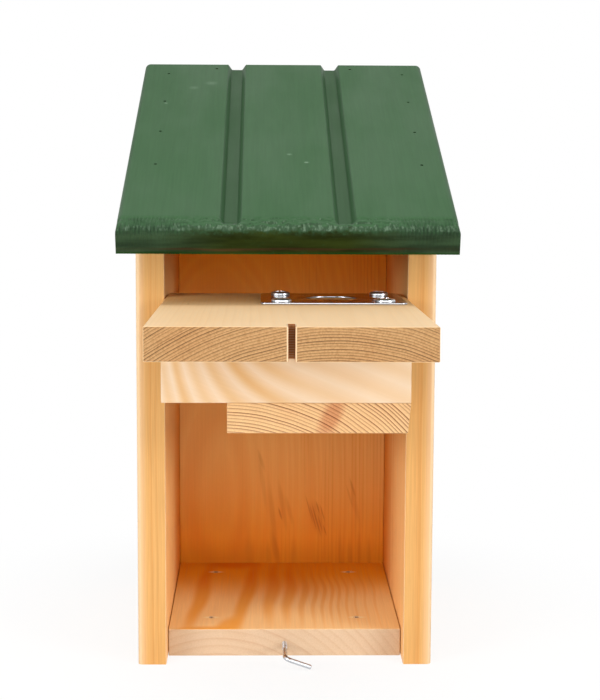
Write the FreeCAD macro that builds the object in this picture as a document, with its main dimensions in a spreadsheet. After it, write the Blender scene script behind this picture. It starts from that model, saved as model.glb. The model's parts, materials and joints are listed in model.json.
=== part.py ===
"""Bird nest box of planed pine with a painted roof, an upswinging door and a porch behind its entrance.

Frame: millimetres, +Z up, +X to the right of the door, +Y from the door to the back.
The origin is the middle of the walls' footprint on the surface that the box stands on.
The door is modelled open, as it is held for cleaning; closing it turns it about +X.
"""
import FreeCAD, Part
import math
import os
import re
import Sketcher

# Driving sizes: name, value in millimetres or degrees, meaning
SIZES = [
    ("board", 18.0, "thickness of every pine board but the roof"),
    ("clear_width", 152.0, "clear width between the side walls"),
    ("floor_depth", 172.0, "floor from its front edge to the back panel"),
    ("front_height", 296.0, "side wall's front edge, base to roof"),
    ("wall_round", 3.0, "rounding of the side walls' outer long edges"),
    ("wall_ease", 0.5, "rounding of the side walls' inner long edges"),
    ("board_ease", 0.6, "rounding of the other boards' edges"),
    ("floor_play", 0.5, "gap between floor and side wall"),
    ("panel_play", 0.3, "gap between back panel and side wall"),
    ("drain_hole", 4.0, "diameter of the floor's drain holes"),
    ("drain_inset", 27.0, "drain holes from the floor's edges"),
    ("hang_hole", 5.0, "diameter of the back panel's fixing holes"),
    ("hang_low", 150.0, "lower fixing hole above the base"),
    ("hang_pitch", 140.0, "distance between the fixing holes"),
    ("roof_width", 200.0, "roof board across the slope"),
    ("roof_length", 300.0, "roof board down the slope"),
    ("roof_thickness", 17.0, "roof board's thickness"),
    ("roof_slope", 19.5, "roof's slope in degrees"),
    ("roof_side_round", 4.0, "rounding of the roof's upper side edges"),
    ("roof_front_round", 7.0, "rounding of the roof's upper front edge"),
    ("groove_pitch", 67.0, "distance between the roof's two grooves"),
    ("groove_mouth", 13.0, "width of a roof groove at the surface"),
    ("groove_bed", 7.0, "width of a roof groove at its bottom"),
    ("groove_depth", 4.0, "depth of a roof groove"),
    ("pivot_drop", 68.5, "door pivot below the roof at the walls' front edge"),
    ("seat_gap", 0.5, "gap between the shut door and the floor's edge"),
    ("door_play", 1.0, "gap between door and side wall"),
    ("door_foot_gap", 1.0, "shut door's foot above the base"),
    ("door_rise", 31.0, "door's upper end above the pivot"),
    ("header_gap", 6.0, "gap between the shut door and the header over it"),
    ("open_angle", 92.0, "how far the door stands open, in degrees"),
    ("entrance_bore", 32.0, "diameter of the entrance hole"),
    ("entrance_side", 27.5, "entrance hole to the right of the door's middle"),
    ("entrance_drop", 29.5, "entrance hole below the pivot"),
    ("slot_depth", 17.0, "depth of the saw slot in the door's foot"),
    ("slot_play", 0.25, "gap between hook and slot on each side"),
    ("porch_drop", 58.0, "porch floor's upper face below the pivot"),
    ("porch_depth", 40.0, "porch floor from the door to the baffle"),
    ("porch_play", 2.0, "half of what the porch floor is narrower than the box is clear"),
    ("porch_shift", 0.7, "porch floor to the left of the door's middle"),
    ("baffle_width", 109.0, "baffle's width, flush at the right"),
    ("baffle_height", 110.0, "baffle's height from the porch floor's underside"),
    ("baffle_bevel", 1.8, "how far the baffle's right edge leans in over its thickness"),
    ("plate_size", 87.0, "side of the square entrance plate"),
    ("plate_thickness", 1.2, "entrance plate's thickness"),
    ("plate_corner", 4.0, "radius of the entrance plate's corners"),
    ("screw_pitch", 62.0, "distance between the plate's screws"),
    ("screw_shank", 3.5, "diameter of a plate screw's shank"),
    ("screw_length", 13.0, "plate screw under its head"),
    ("screw_head", 12.0, "diameter of a plate screw's head"),
    ("screw_head_height", 2.2, "height of a plate screw's head"),
    ("screw_play", 0.2, "gap between a screw's shank and the plate"),
    ("hook_wire", 3.0, "diameter of the hook's wire"),
    ("hook_height", 8.2, "hook's shank above the base"),
    ("hook_reach", 32.5, "hook from the floor's edge to its arm"),
    ("hook_arm", 17.5, "length of the hook's arm"),
    ("hook_bend", 4.0, "radius of the hook's bend at the wire's middle"),
    ("hook_bite", 22.0, "length of the hook in the floor"),
    ("hook_droop", 19.4, "how far the hook's arm points below level, in degrees"),
    ("pin_shank", 3.5, "diameter of a pivot pin"),
    ("pin_bite", 10.0, "length of a pivot pin in the door"),
    ("pin_head", 7.0, "diameter of a pivot pin's sunk head"),
    ("turning_play", 0.05, "gap round a piece that turns in the wood"),
    ("tight_play", 0.02, "gap round a nail or screw that is tight in the wood"),
    ("nail_shank", 1.5, "diameter of a brad"),
    ("nail_length", 40.0, "length of a brad"),
    ("nail_head", 2.0, "diameter of a brad's head"),
    ("nail_head_height", 0.8, "height of a brad's head"),
    ("nail_set", 1.0, "depth to which brads are sunk"),
    ("roof_nail_inset", 20.0, "first and last roof brads from the walls' front and back edges"),
    ("left_nail_line", 6.0, "left row of roof brads from the wall's inner face"),
    ("right_nail_line", 9.0, "right row of roof brads from the wall's inner face"),
    ("back_nail_pitch", 96.0, "distance between the roof's two back brads"),
    ("wall_nail_inset", 60.0, "lowest back brad above the base, and highest below the walls' front height"),
    ("floor_nail_inset", 40.0, "wall brads in the floor, from the floor's front and back edges"),
    ("floor_nail_pitch", 80.0, "distance between the two brads from the back into the floor"),
    ("porch_nail_pitch", 58.0, "distance between the porch floor's brads"),
    ("baffle_nail_inset", 20.0, "baffle's brads from its side edges"),
    ("cut_over", 1.0, "how far a cutting shape stands out of the wood"),
]

# Counts of brads in a row over each side wall, and through each side wall into the back panel and the floor
ROOF_ROW = 4
WALL_ROW = 3
FLOOR_ROW = 2

# A screw head's dome, as shares of its radius and height, and its crossed recess, as shares of its radius
DOME = [(1, 0), (1, 0.35), (0.88, 0.72), (0.56, 0.95), (0, 1)]
RECESS_REACH = 0.54
RECESS_HALF_WIDTH = 0.12
# The recess's floor: share of a domed head's height, and of a sunk head's depth
DOME_RECESS_FLOOR = 0.45
SUNK_RECESS_FLOOR = 0.7

# Sizes that follow from the driving ones
DERIVED = {
    "half_clear": "clear_width / 2",
    "half_outer": "half_clear + board",
    "recess": "board + seat_gap",
    "inner_depth": "recess + floor_depth",
    "box_depth": "inner_depth + board",
    "back_height": "front_height + box_depth * tan(roof_slope)",
    "panel_height": "front_height + inner_depth * tan(roof_slope)",
    "overhang": "roof_length * cos(roof_slope) - box_depth",
    "eave_height": "front_height - overhang * tan(roof_slope)",
    "pivot_height": "front_height - pivot_drop",
    "half_door": "half_clear - door_play",
    "door_below": "pivot_height - door_foot_gap",
    "header_foot": "pivot_height + door_rise + header_gap",
    "header_middle": "(header_foot + front_height) / 2",
    "half_board": "board / 2",
    "half_porch": "half_clear - porch_play",
    "porch_right": "half_porch - porch_shift",
    "baffle_left": "porch_right - baffle_width",
    "porch_foot": "porch_drop + board",
    "baffle_front": "half_board + porch_depth",
    "baffle_back": "baffle_front + board",
    "porch_nail_line": "porch_drop + half_board",
    "plate_front": "half_board + plate_thickness",
    "pin_length": "board + door_play + pin_bite",
    "pin_head_depth": "(pin_head - pin_shank) / 2",
    "roof_nail_step": f"(box_depth - 2 * roof_nail_inset) / {ROOF_ROW - 1}",
    "wall_nail_step": f"(front_height - 2 * wall_nail_inset) / {WALL_ROW - 1}",
    "floor_nail_step": "floor_depth - 2 * floor_nail_inset",
}

doc = FreeCAD.newDocument("nest_box")
sheet = doc.addObject("Spreadsheet::Sheet", "Sizes")
for row, (alias, value, meaning) in enumerate(SIZES, start=1):
    sheet.set(f"A{row}", alias)
    sheet.set(f"B{row}", str(value))
    sheet.setAlias(f"B{row}", alias)
    sheet.set(f"C{row}", meaning)
doc.recompute()

ALIASES = {alias for alias, value, meaning in SIZES}
RIGHT = FreeCAD.Vector(1, 0, 0)
LEFT = FreeCAD.Vector(-1, 0, 0)
BACK = FreeCAD.Vector(0, 1, 0)
UP = FreeCAD.Vector(0, 0, 1)
NOWHERE = FreeCAD.Vector(0, 0, 0)
SMALL = 1e-6
TOUCHING = 1e-4

# Finished pieces, in the order in which they are made
pieces = []


def formula(text):
    """Spell out a formula of size names as an expression on the sheet's cells."""

    def spell(match):
        word = match.group()
        if word in DERIVED:
            return "(" + formula(DERIVED[word]) + ")"
        if word in ALIASES:
            return "Sizes." + word
        return word

    return re.sub(r"[a-z_]+", spell, str(text))


def number(text):
    """The present value of a formula."""
    return float(sheet.evalExpression(formula(text)))


def bind(target, **sizes):
    """Tie properties of an object to formulas."""
    for name, text in sizes.items():
        target.setExpression(name, formula(text))


def place(target, x=0, y=0, z=0, axis=UP, angle=0):
    """Put an object where three formulas say, turned about an axis by an angle formula."""
    target.Placement = FreeCAD.Placement(NOWHERE, FreeCAD.Rotation(axis, number(angle)))
    for name, text in (("x", x), ("y", y), ("z", z)):
        target.setExpression(f"Placement.Base.{name}", formula(text))
    if axis is not UP:
        target.setExpression("Placement.Rotation.Angle", formula(angle))


def finish(target, label):
    """Keep an object as a finished piece under its own name."""
    target.Label = label
    pieces.append(target)


def set_in_box(target, label):
    """Finish a piece of the standing box, drawn with the walls' front edges at Y 0."""
    place(target, y="-box_depth / 2")
    finish(target, label)


def set_on_door(target, label):
    """Finish a piece that turns with the door, drawn upright about the pivot line."""
    place(target, y="half_board - box_depth / 2", z="pivot_height", axis=LEFT, angle="open_angle")
    finish(target, label)


# Sketches and features


def new_sketch(body, plane, name):
    """An empty sketch on one of the body's own origin planes."""
    sketch = body.newObject("Sketcher::SketchObject", name)
    support = [item for item in body.Origin.OriginFeatures if item.Role == plane][0]
    sketch.AttachmentSupport = (support, [""])
    sketch.MapMode = "FlatFace"
    return sketch


def pin_point(sketch, geometry, point, across, along):
    """Hold a sketch point at two formulas, measured from the sketch's origin."""
    for kind, text in (("DistanceX", across), ("DistanceY", along)):
        row = sketch.addConstraint(
            Sketcher.Constraint(kind, -1, 1, geometry, point, number(text)))
        sketch.setExpression(f"Constraints[{row}]", formula(text))


def hold(sketch, kind, geometry, text):
    """Hold a circle's or an arc's size at a formula."""
    row = sketch.addConstraint(Sketcher.Constraint(kind, geometry, number(text)))
    sketch.setExpression(f"Constraints[{row}]", formula(text))


def vector(across, along):
    """A sketch point from two formulas."""
    return FreeCAD.Vector(number(across), number(along), 0)


def add_outline(sketch, points, quarters=None, closed=True):
    """Lines through points given as formulas; a numbered side may be a quarter circle instead.

    A quarter is given by its centre, its radius and the quarter turn that it starts at,
    and it runs counter-clockwise, as the outline does there.
    """
    first = sketch.GeometryCount
    count = len(points)
    sides = count if closed else count - 1
    for index in range(sides):
        if quarters and index in quarters:
            across, along, radius, turn = quarters[index]
            circle = Part.Circle(vector(across, along), UP, number(radius))
            arc = Part.ArcOfCircle(circle, turn * math.pi / 2, (turn + 1) * math.pi / 2)
            hold(sketch, "Radius", sketch.addGeometry(arc), radius)
        else:
            end = points[(index + 1) % count]
            sketch.addGeometry(Part.LineSegment(vector(*points[index]), vector(*end)))
    for index in range(sides if closed else sides - 1):
        following = first + (index + 1) % count
        sketch.addConstraint(Sketcher.Constraint("Coincident", first + index, 2, following, 1))
    for index in range(sides):
        pin_point(sketch, first + index, 1, *points[index])
    if not closed:
        pin_point(sketch, first + sides - 1, 2, *points[-1])


def add_circle(sketch, across, along, diameter):
    """A circle whose centre and diameter are formulas."""
    circle = Part.Circle(vector(across, along), UP, number(diameter) / 2)
    geometry = sketch.addGeometry(circle)
    pin_point(sketch, geometry, 3, across, along)
    hold(sketch, "Diameter", geometry, diameter)


def pad(body, sketch, length, side="One side", reverse=False):
    """Thicken a sketch into a solid."""
    feature = body.newObject("PartDesign::Pad", sketch.Name + "_pad")
    feature.Profile = sketch
    feature.SideType = side
    feature.Reversed = reverse
    bind(feature, Length=length)
    doc.recompute()
    return feature


def pocket_through(body, sketch):
    """Cut a sketch right through the body, both ways from its plane."""
    before = body.Shape.Volume
    feature = body.newObject("PartDesign::Pocket", sketch.Name + "_pocket")
    feature.Profile = sketch
    feature.Type = "ThroughAll"
    feature.SideType = "Symmetric"
    doc.recompute()
    if feature.Shape.Volume > before - SMALL:
        raise RuntimeError(f"{sketch.Name} cuts nothing")
    return feature


def round_edges(body, base, name, radius, direction=None, test=None):
    """Round a feature's edges: all, those along a direction, or those whose ends pass a test."""
    names = []
    for index, edge in enumerate(base.Shape.Edges, start=1):
        along = edge.tangentAt(edge.FirstParameter)
        runs_so = direction is None or abs(along.dot(direction)) > 1 - TOUCHING
        if runs_so and (test is None or all(test(vertex.Point) for vertex in edge.Vertexes)):
            names.append(f"Edge{index}")
    feature = body.newObject("PartDesign::Fillet", name)
    feature.Base = (base, names)
    bind(feature, Radius=radius)
    doc.recompute()
    return feature


def near(value, text):
    """Whether a coordinate is at a formula's value."""
    return abs(value - number(text)) < TOUCHING


def new_body(name):
    """An empty body for one piece."""
    return doc.addObject("PartDesign::Body", name + "_body")


def compound(name, members):
    """Several separate solids as one object."""
    group = doc.addObject("Part::Compound", name)
    group.Links = members
    return group


def cut(name, base, tools):
    """A base with the shapes of the tools taken out of it."""
    doc.recompute()
    result = doc.addObject("Part::Cut", name)
    result.Base = base
    result.Tool = compound(name + "_tools", tools)
    doc.recompute()
    if result.Shape.Volume > base.Shape.Volume - SMALL:
        raise RuntimeError(f"{name}: the tools cut nothing")
    return result


def cylinder(name, radius, length, foot):
    """An upright cylinder, its foot at a height formula."""
    shape = doc.addObject("Part::Cylinder", name)
    bind(shape, Radius=radius, Height=length)
    place(shape, z=foot)
    return shape


# Fasteners: each is drawn pointing down, with the wood's surface at Z 0


def fuse(name, first, second):
    """Two shapes as one solid."""
    result = doc.addObject("Part::Fuse", name)
    result.Base = first
    result.Tool = second
    return result


def brad(name, **where):
    """A sunk brad and the shape of its hole in the wood."""
    shank = cylinder(name + "_shank", "nail_shank / 2", "nail_length", "-nail_set - nail_length")
    head = cylinder(name + "_head", "nail_head / 2", "nail_head_height", "-nail_set - nail_head_height")
    nail = fuse(name, shank, head)
    place(nail, **where)
    deep = cylinder(name + "_bore", "nail_shank / 2 + tight_play",
                    "nail_length + nail_set + cut_over", "-nail_set - nail_length")
    wide = cylinder(name + "_sink", "nail_head / 2 + tight_play",
                    "nail_set + nail_head_height + cut_over", "-nail_set - nail_head_height")
    hole = fuse(name + "_hole", deep, wide)
    place(hole, **where)
    return nail, hole


def brads(name, places):
    """Brads at a list of places, and their holes."""
    made = [brad(f"{name}_{index}", **where) for index, where in enumerate(places)]
    nails = [nail for nail, hole in made]
    holes = [hole for nail, hole in made]
    return compound(name + "_group", nails), holes


def screw(name, profile, head, recess_floor):
    """A screw turned from a profile, with a crossed recess down to a height."""
    body = new_body(name)
    sketch = new_sketch(body, "XZ_Plane", name + "_profile")
    add_outline(sketch, profile)
    turned = body.newObject("PartDesign::Revolution", name + "_turned")
    turned.Profile = sketch
    turned.ReferenceAxis = (sketch, ["V_Axis"])
    turned.Angle = 360
    doc.recompute()
    recess = new_sketch(body, "XY_Plane", name + "_recess")
    arm = f"{RECESS_REACH} * ({head}) / 2"
    half = f"{RECESS_HALF_WIDTH} * ({head}) / 2"
    add_outline(recess, [
        (half, half), (half, arm), (f"-{half}", arm), (f"-{half}", half),
        (f"-{arm}", half), (f"-{arm}", f"-{half}"), (f"-{half}", f"-{half}"),
        (f"-{half}", f"-{arm}"), (half, f"-{arm}"), (half, f"-{half}"),
        (arm, f"-{half}"), (arm, half)])
    recess.AttachmentOffset = FreeCAD.Placement(NOWHERE, FreeCAD.Rotation())
    recess.setExpression("AttachmentOffset.Base.z", formula(recess_floor))
    before = body.Shape.Volume
    cross = body.newObject("PartDesign::Pocket", name + "_cross")
    cross.Profile = recess
    cross.Type = "ThroughAll"
    cross.Reversed = True
    doc.recompute()
    if cross.Shape.Volume > before - SMALL:
        raise RuntimeError(f"{name}: the recess cuts nothing")
    return body


def pointed_shank(shank, length):
    """Profile of a screw's shank, from its tip to the wood's surface."""
    side = f"({shank}) / 2"
    return [("0", f"-({length})"), (side, f"-({length}) + ({shank})")]


# Places of the brads, in the box's or the door's frame


def roof_places(line, side):
    """A row of roof brads over one side wall, square to the roof."""
    rows = []
    for index in range(ROOF_ROW):
        depth = f"(roof_nail_inset + {index} * roof_nail_step)"
        rows.append(dict(
            x=f"{side} * (half_clear + {line})",
            y=f"{depth} - roof_thickness * sin(roof_slope)",
            z=f"front_height + {depth} * tan(roof_slope) + roof_thickness * cos(roof_slope)",
            axis=RIGHT, angle="roof_slope"))
    return rows


def roof_back_places():
    """The roof's two brads over the back panel."""
    depth = "(box_depth - half_board)"
    return [dict(
        x=f"{side} * back_nail_pitch / 2",
        y=f"{depth} - roof_thickness * sin(roof_slope)",
        z=f"front_height + {depth} * tan(roof_slope) + roof_thickness * cos(roof_slope)",
        axis=RIGHT, angle="roof_slope") for side in (-1, 1)]


def wall_places(side):
    """Brads through one side wall: a row into the back panel, a row into the floor, one into the header."""
    outside = dict(x=f"{side} * half_outer", axis=BACK, angle=90 * side)
    back = [dict(outside, y="box_depth - half_board", z=f"wall_nail_inset + {index} * wall_nail_step")
            for index in range(WALL_ROW)]
    floor = [dict(outside, y=f"recess + floor_nail_inset + {index} * floor_nail_step", z="half_board")
             for index in range(FLOOR_ROW)]
    return back + floor + [dict(outside, y="half_board", z="header_middle")]


def back_share(holes):
    """Those of a wall's brad holes that go on into the back panel."""
    return holes[:WALL_ROW]


def floor_share(holes):
    """Those of a wall's brad holes that go on into the floor."""
    return holes[WALL_ROW:WALL_ROW + FLOOR_ROW]


def header_share(holes):
    """The one of a wall's brad holes that goes on into the header."""
    return holes[WALL_ROW + FLOOR_ROW:]


def floor_places():
    """Brads through the back panel into the floor."""
    return [dict(x=f"{side} * floor_nail_pitch / 2", y="box_depth", z="half_board", axis=RIGHT, angle=-90)
            for side in (-1, 1)]


def porch_places():
    """Brads through the door into the porch floor."""
    return [dict(x=f"{index} * porch_nail_pitch - porch_shift", y="-half_board", z="-porch_nail_line",
                 axis=RIGHT, angle=90) for index in (-1, 0, 1)]


def baffle_places():
    """Brads through the baffle into the porch floor."""
    edges = ("porch_right - baffle_nail_inset", "baffle_left + baffle_nail_inset")
    return [dict(x=edge, y="baffle_back", z="-porch_nail_line", axis=RIGHT, angle=-90) for edge in edges]


roof_nails_left, roof_holes_left = brads("roof_nail_left", roof_places("left_nail_line", -1))
roof_nails_right, roof_holes_right = brads("roof_nail_right", roof_places("right_nail_line", 1))
roof_nails_back, roof_holes_back = brads("roof_nail_back", roof_back_places())
wall_nails_left, wall_holes_left = brads("wall_nail_left", wall_places(-1))
wall_nails_right, wall_holes_right = brads("wall_nail_right", wall_places(1))
floor_nails, floor_holes = brads("floor_nail", floor_places())
porch_nails, porch_holes = brads("porch_nail", porch_places())
baffle_nails, baffle_holes = brads("baffle_nail", baffle_places())


# Standing box


def side_wall(name, side, holes):
    """A side wall whose top follows the roof, with its sunk pivot bore and brad holes."""
    body = new_body(name)
    sketch = new_sketch(body, "YZ_Plane", name + "_outline")
    add_outline(sketch, [("0", "0"), ("box_depth", "0"),
                         ("box_depth", "back_height"), ("0", "front_height")])
    block = pad(body, sketch, "board")
    outer = "0" if side < 0 else "board"
    inner = "board" if side < 0 else "0"
    rounded = round_edges(body, block, name + "_outer_round", "wall_round", direction=UP,
                          test=lambda point: near(point.x, outer))
    round_edges(body, rounded, name + "_inner_ease", "wall_ease", direction=UP,
                test=lambda point: near(point.x, inner))
    place(body, x="-half_outer" if side < 0 else "half_clear")
    bore = cylinder(name + "_pivot_bore", "pin_shank / 2 + tight_play", "board + 2 * cut_over",
                    "-board - cut_over")
    sink = doc.addObject("Part::Cone", name + "_pivot_sink")
    bind(sink, Radius1="pin_shank / 2 + tight_play", Radius2="pin_head / 2 + tight_play + cut_over",
         Height="pin_head_depth + cut_over")
    place(sink, z="-pin_head_depth")
    doc.recompute()
    seat = fuse(name + "_pivot_seat", bore, sink)
    place(seat, x=f"{side} * half_outer", y="half_board", z="pivot_height", axis=BACK, angle=90 * side)
    set_in_box(cut(name, body, holes + [seat]), name)


def back_panel():
    """The back between the side walls, with two holes to hang the box by."""
    body = new_body("back_panel")
    sketch = new_sketch(body, "YZ_Plane", "back_outline")
    add_outline(sketch, [("inner_depth", "0"), ("box_depth", "0"),
                         ("box_depth", "back_height"), ("inner_depth", "panel_height")])
    pad(body, sketch, "clear_width - 2 * panel_play", side="Symmetric")
    holes = new_sketch(body, "XZ_Plane", "hang_holes")
    add_circle(holes, "0", "hang_low", "hang_hole")
    add_circle(holes, "0", "hang_low + hang_pitch", "hang_hole")
    pocket_through(body, holes)
    tools = back_share(wall_holes_left) + back_share(wall_holes_right) + roof_holes_back + floor_holes
    set_in_box(cut("back_panel", body, tools), "back_panel")


def floor_board():
    """The floor, set back behind the door, with drain holes and the hook's bore."""
    body = new_body("floor_board")
    half_floor = "(half_clear - floor_play)"
    sketch = new_sketch(body, "XY_Plane", "floor_outline")
    add_outline(sketch, [(f"-{half_floor}", "recess"), (half_floor, "recess"),
                         (half_floor, "inner_depth"), (f"-{half_floor}", "inner_depth")])
    block = pad(body, sketch, "board")
    round_edges(body, block, "floor_ease", "board_ease")
    holes = new_sketch(body, "XY_Plane", "drain_holes")
    for side in (-1, 1):
        across = f"{side} * ({half_floor} - drain_inset)"
        add_circle(holes, across, "recess + drain_inset", "drain_hole")
        add_circle(holes, across, "inner_depth - drain_inset", "drain_hole")
    pocket_through(body, holes)
    bore = cylinder("hook_bore", "hook_wire / 2 + turning_play",
                    "hook_bite + turning_play + cut_over", "0")
    place(bore, y="recess - cut_over", z="hook_height", axis=LEFT, angle=90)
    tools = floor_share(wall_holes_left) + floor_share(wall_holes_right) + floor_holes + [bore]
    set_in_box(cut("floor_board", body, tools), "floor_board")


def front_header():
    """The strip over the shut door, which closes the front up to the roof."""
    body = new_body("front_header")
    sketch = new_sketch(body, "YZ_Plane", "header_section")
    add_outline(sketch, [("0", "header_foot"), ("board", "header_foot"),
                         ("board", "front_height + board * tan(roof_slope)"), ("0", "front_height")])
    pad(body, sketch, "clear_width - 2 * panel_play", side="Symmetric")
    tools = header_share(wall_holes_left) + header_share(wall_holes_right)
    set_in_box(cut("front_header", body, tools), "front_header")


def roof():
    """The roof board: two grooves down the slope, upper edges rounded."""
    body = new_body("roof")
    half = "roof_width / 2"
    grooves = []
    for side in (1, -1):
        middle = f"{side} * groove_pitch / 2"
        grooves += [
            (f"{middle} + groove_mouth / 2", "roof_thickness"),
            (f"{middle} + groove_bed / 2", "roof_thickness - groove_depth"),
            (f"{middle} - groove_bed / 2", "roof_thickness - groove_depth"),
            (f"{middle} - groove_mouth / 2", "roof_thickness")]
    sketch = new_sketch(body, "XZ_Plane", "roof_section")
    add_outline(sketch, [(f"-{half}", "0"), (half, "0"), (half, "roof_thickness")]
                + grooves + [(f"-{half}", "roof_thickness")])
    block = pad(body, sketch, "roof_length", reverse=True)
    round_edges(body, block, "roof_side_rounding", "roof_side_round", direction=BACK,
                test=lambda point: near(abs(point.x), half) and near(point.z, "roof_thickness"))
    nose = new_sketch(body, "YZ_Plane", "roof_nose")
    low = "roof_thickness - roof_front_round"
    above = "roof_thickness + cut_over"
    add_outline(nose, [("roof_front_round", "roof_thickness"), ("0", low), ("-cut_over", low),
                       ("-cut_over", above), ("roof_front_round", above)],
                quarters={0: ("roof_front_round", low, "roof_front_round", 1)})
    pocket_through(body, nose)
    place(body, y="-overhang", z="eave_height", axis=RIGHT, angle="roof_slope")
    set_in_box(cut("roof", body, roof_holes_left + roof_holes_right + roof_holes_back), "roof")


def turn_hook():
    """The bent wire hook: its shank in the floor's edge, its arm across in front of the door."""
    body = new_body("turn_hook")
    ring = new_sketch(body, "XZ_Plane", "hook_section")
    add_circle(ring, "0", "0", "hook_wire")
    path = new_sketch(body, "XY_Plane", "hook_path")
    turn = "-(hook_reach - hook_bend)"
    add_outline(path, [("0", "0"), ("0", turn), ("hook_bend", "-hook_reach"), ("hook_arm", "-hook_reach")],
                quarters={1: ("hook_bend", turn, "hook_bend", 2)}, closed=False)
    shank = pad(body, ring, "hook_bite", reverse=True)
    wire = body.newObject("PartDesign::AdditivePipe", "hook_wire_bend")
    wire.Profile = ring
    wire.Spine = path
    doc.recompute()
    if wire.Shape.Volume < shank.Shape.Volume + SMALL:
        raise RuntimeError("the hook's wire adds nothing")
    place(body, y="recess - box_depth / 2", z="hook_height", axis=BACK, angle="hook_droop")
    finish(body, "turn_hook")


def pivot_pin(name, side):
    """A screw sunk in a side wall, on which the door turns."""
    head = [("pin_shank / 2", "-pin_head_depth"), ("pin_head / 2", "0"), ("0", "0")]
    body = screw(name, pointed_shank("pin_shank", "pin_length") + head, "pin_head",
                 f"-{SUNK_RECESS_FLOOR} * pin_head_depth")
    place(body, x=f"{side} * half_outer", y="half_board - box_depth / 2", z="pivot_height",
          axis=BACK, angle=90 * side)
    finish(body, name)


# Door and what turns with it


def plate_screw_places():
    """Middles of the plate's four screws, across and up from the pivot's middle."""
    return [(f"entrance_side + {right} * screw_pitch / 2", f"-entrance_drop + {up} * screw_pitch / 2")
            for up in (1, -1) for right in (-1, 1)]


def door():
    """The door: entrance hole, saw slot in its foot, pivot bores in its side edges."""
    body = new_body("door")
    sketch = new_sketch(body, "XZ_Plane", "door_outline")
    add_outline(sketch, [("-half_door", "-door_below"), ("half_door", "-door_below"),
                         ("half_door", "door_rise"), ("-half_door", "door_rise")])
    block = pad(body, sketch, "board", side="Symmetric")
    round_edges(body, block, "door_ease", "board_ease")
    entrance = new_sketch(body, "XZ_Plane", "entrance")
    add_circle(entrance, "entrance_side", "-entrance_drop", "entrance_bore")
    pocket_through(body, entrance)
    slot = new_sketch(body, "XZ_Plane", "saw_slot")
    half_slot = "(hook_wire / 2 + slot_play)"
    mouth = "-door_below - cut_over"
    inner_end = "-door_below + slot_depth"
    add_outline(slot, [(f"-{half_slot}", mouth), (half_slot, mouth),
                       (half_slot, inner_end), (f"-{half_slot}", inner_end)])
    pocket_through(body, slot)
    bores = []
    for side in (-1, 1):
        bore = cylinder("pivot_bore", "pin_shank / 2 + turning_play",
                        "pin_bite + turning_play + cut_over", "0")
        place(bore, x=f"{side} * (half_door + cut_over)", axis=BACK, angle=-90 * side)
        bores.append(bore)
    pilots = []
    for across, up in plate_screw_places():
        pilot = cylinder("screw_pilot", "screw_shank / 2 + tight_play",
                         "screw_length - plate_thickness + tight_play + cut_over", "0")
        place(pilot, x=across, y="-half_board - cut_over", z=up, axis=LEFT, angle=90)
        pilots.append(pilot)
    set_on_door(cut("door", body, bores + pilots + porch_holes), "door")


def porch_floor():
    """The ledge on the door's inner face."""
    body = new_body("porch_floor")
    sketch = new_sketch(body, "YZ_Plane", "porch_section")
    add_outline(sketch, [("half_board", "-porch_foot"), ("baffle_front", "-porch_foot"),
                         ("baffle_front", "-porch_drop"), ("half_board", "-porch_drop")])
    block = pad(body, sketch, "2 * half_porch", side="Symmetric")
    round_edges(body, block, "porch_ease", "board_ease")
    place(body, x="-porch_shift")
    set_on_door(cut("porch_floor", body, porch_holes + baffle_holes), "porch_floor")


def baffle():
    """The board behind the entrance, its right edge sawn out of square."""
    body = new_body("baffle")
    sketch = new_sketch(body, "XY_Plane", "baffle_outline")
    add_outline(sketch, [("baffle_left", "baffle_front"), ("porch_right", "baffle_front"),
                         ("porch_right - baffle_bevel", "baffle_back"), ("baffle_left", "baffle_back")])
    block = pad(body, sketch, "baffle_height")
    round_edges(body, block, "baffle_ease", "board_ease")
    place(body, z="-porch_foot")
    set_on_door(cut("baffle", body, baffle_holes), "baffle")


def entrance_plate():
    """The steel guard plate round the entrance hole."""
    body = new_body("entrance_plate")
    half = "plate_size / 2"
    left = f"entrance_side - {half}"
    right = f"entrance_side + {half}"
    low = f"-entrance_drop - {half}"
    high = f"-entrance_drop + {half}"
    sketch = new_sketch(body, "XZ_Plane", "plate_outline")
    add_outline(sketch, [(left, low), (right, low), (right, high), (left, high)])
    block = pad(body, sketch, "plate_thickness")
    round_edges(body, block, "plate_corners", "plate_corner", direction=BACK)
    holes = new_sketch(body, "XZ_Plane", "plate_holes")
    add_circle(holes, "entrance_side", "-entrance_drop", "entrance_bore")
    for across, up in plate_screw_places():
        add_circle(holes, across, up, "screw_shank + 2 * screw_play")
    pocket_through(body, holes)
    place(body, y="-half_board")
    set_on_door(compound("entrance_plate", [body]), "entrance_plate")


def plate_screws():
    """The plate's four screws."""
    screws = []
    for index, (across, up) in enumerate(plate_screw_places()):
        dome = [(f"{wide} * screw_head / 2", f"{high} * screw_head_height") for wide, high in DOME]
        shank = pointed_shank("screw_shank", "screw_length") + [("screw_shank / 2", "0")]
        body = screw(f"plate_screw_{index}", shank + dome, "screw_head",
                     f"{DOME_RECESS_FLOOR} * screw_head_height")
        place(body, x=across, y="-plate_front", z=up, axis=RIGHT, angle=90)
        screws.append(body)
    set_on_door(compound("plate_screws", screws), "plate_screws")


side_wall("left_side", -1, wall_holes_left + roof_holes_left)
side_wall("right_side", 1, wall_holes_right + roof_holes_right)
back_panel()
floor_board()
front_header()
roof()
turn_hook()
pivot_pin("pivot_pin_left", -1)
pivot_pin("pivot_pin_right", 1)
set_in_box(roof_nails_left, "roof_nails_left")
set_in_box(roof_nails_right, "roof_nails_right")
set_in_box(roof_nails_back, "roof_nails_back")
set_in_box(wall_nails_left, "wall_nails_left")
set_in_box(wall_nails_right, "wall_nails_right")
set_in_box(floor_nails, "floor_nails")
door()
porch_floor()
baffle()
entrance_plate()
plate_screws()
set_on_door(porch_nails, "porch_nails")
set_on_door(baffle_nails, "baffle_nails")

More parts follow.
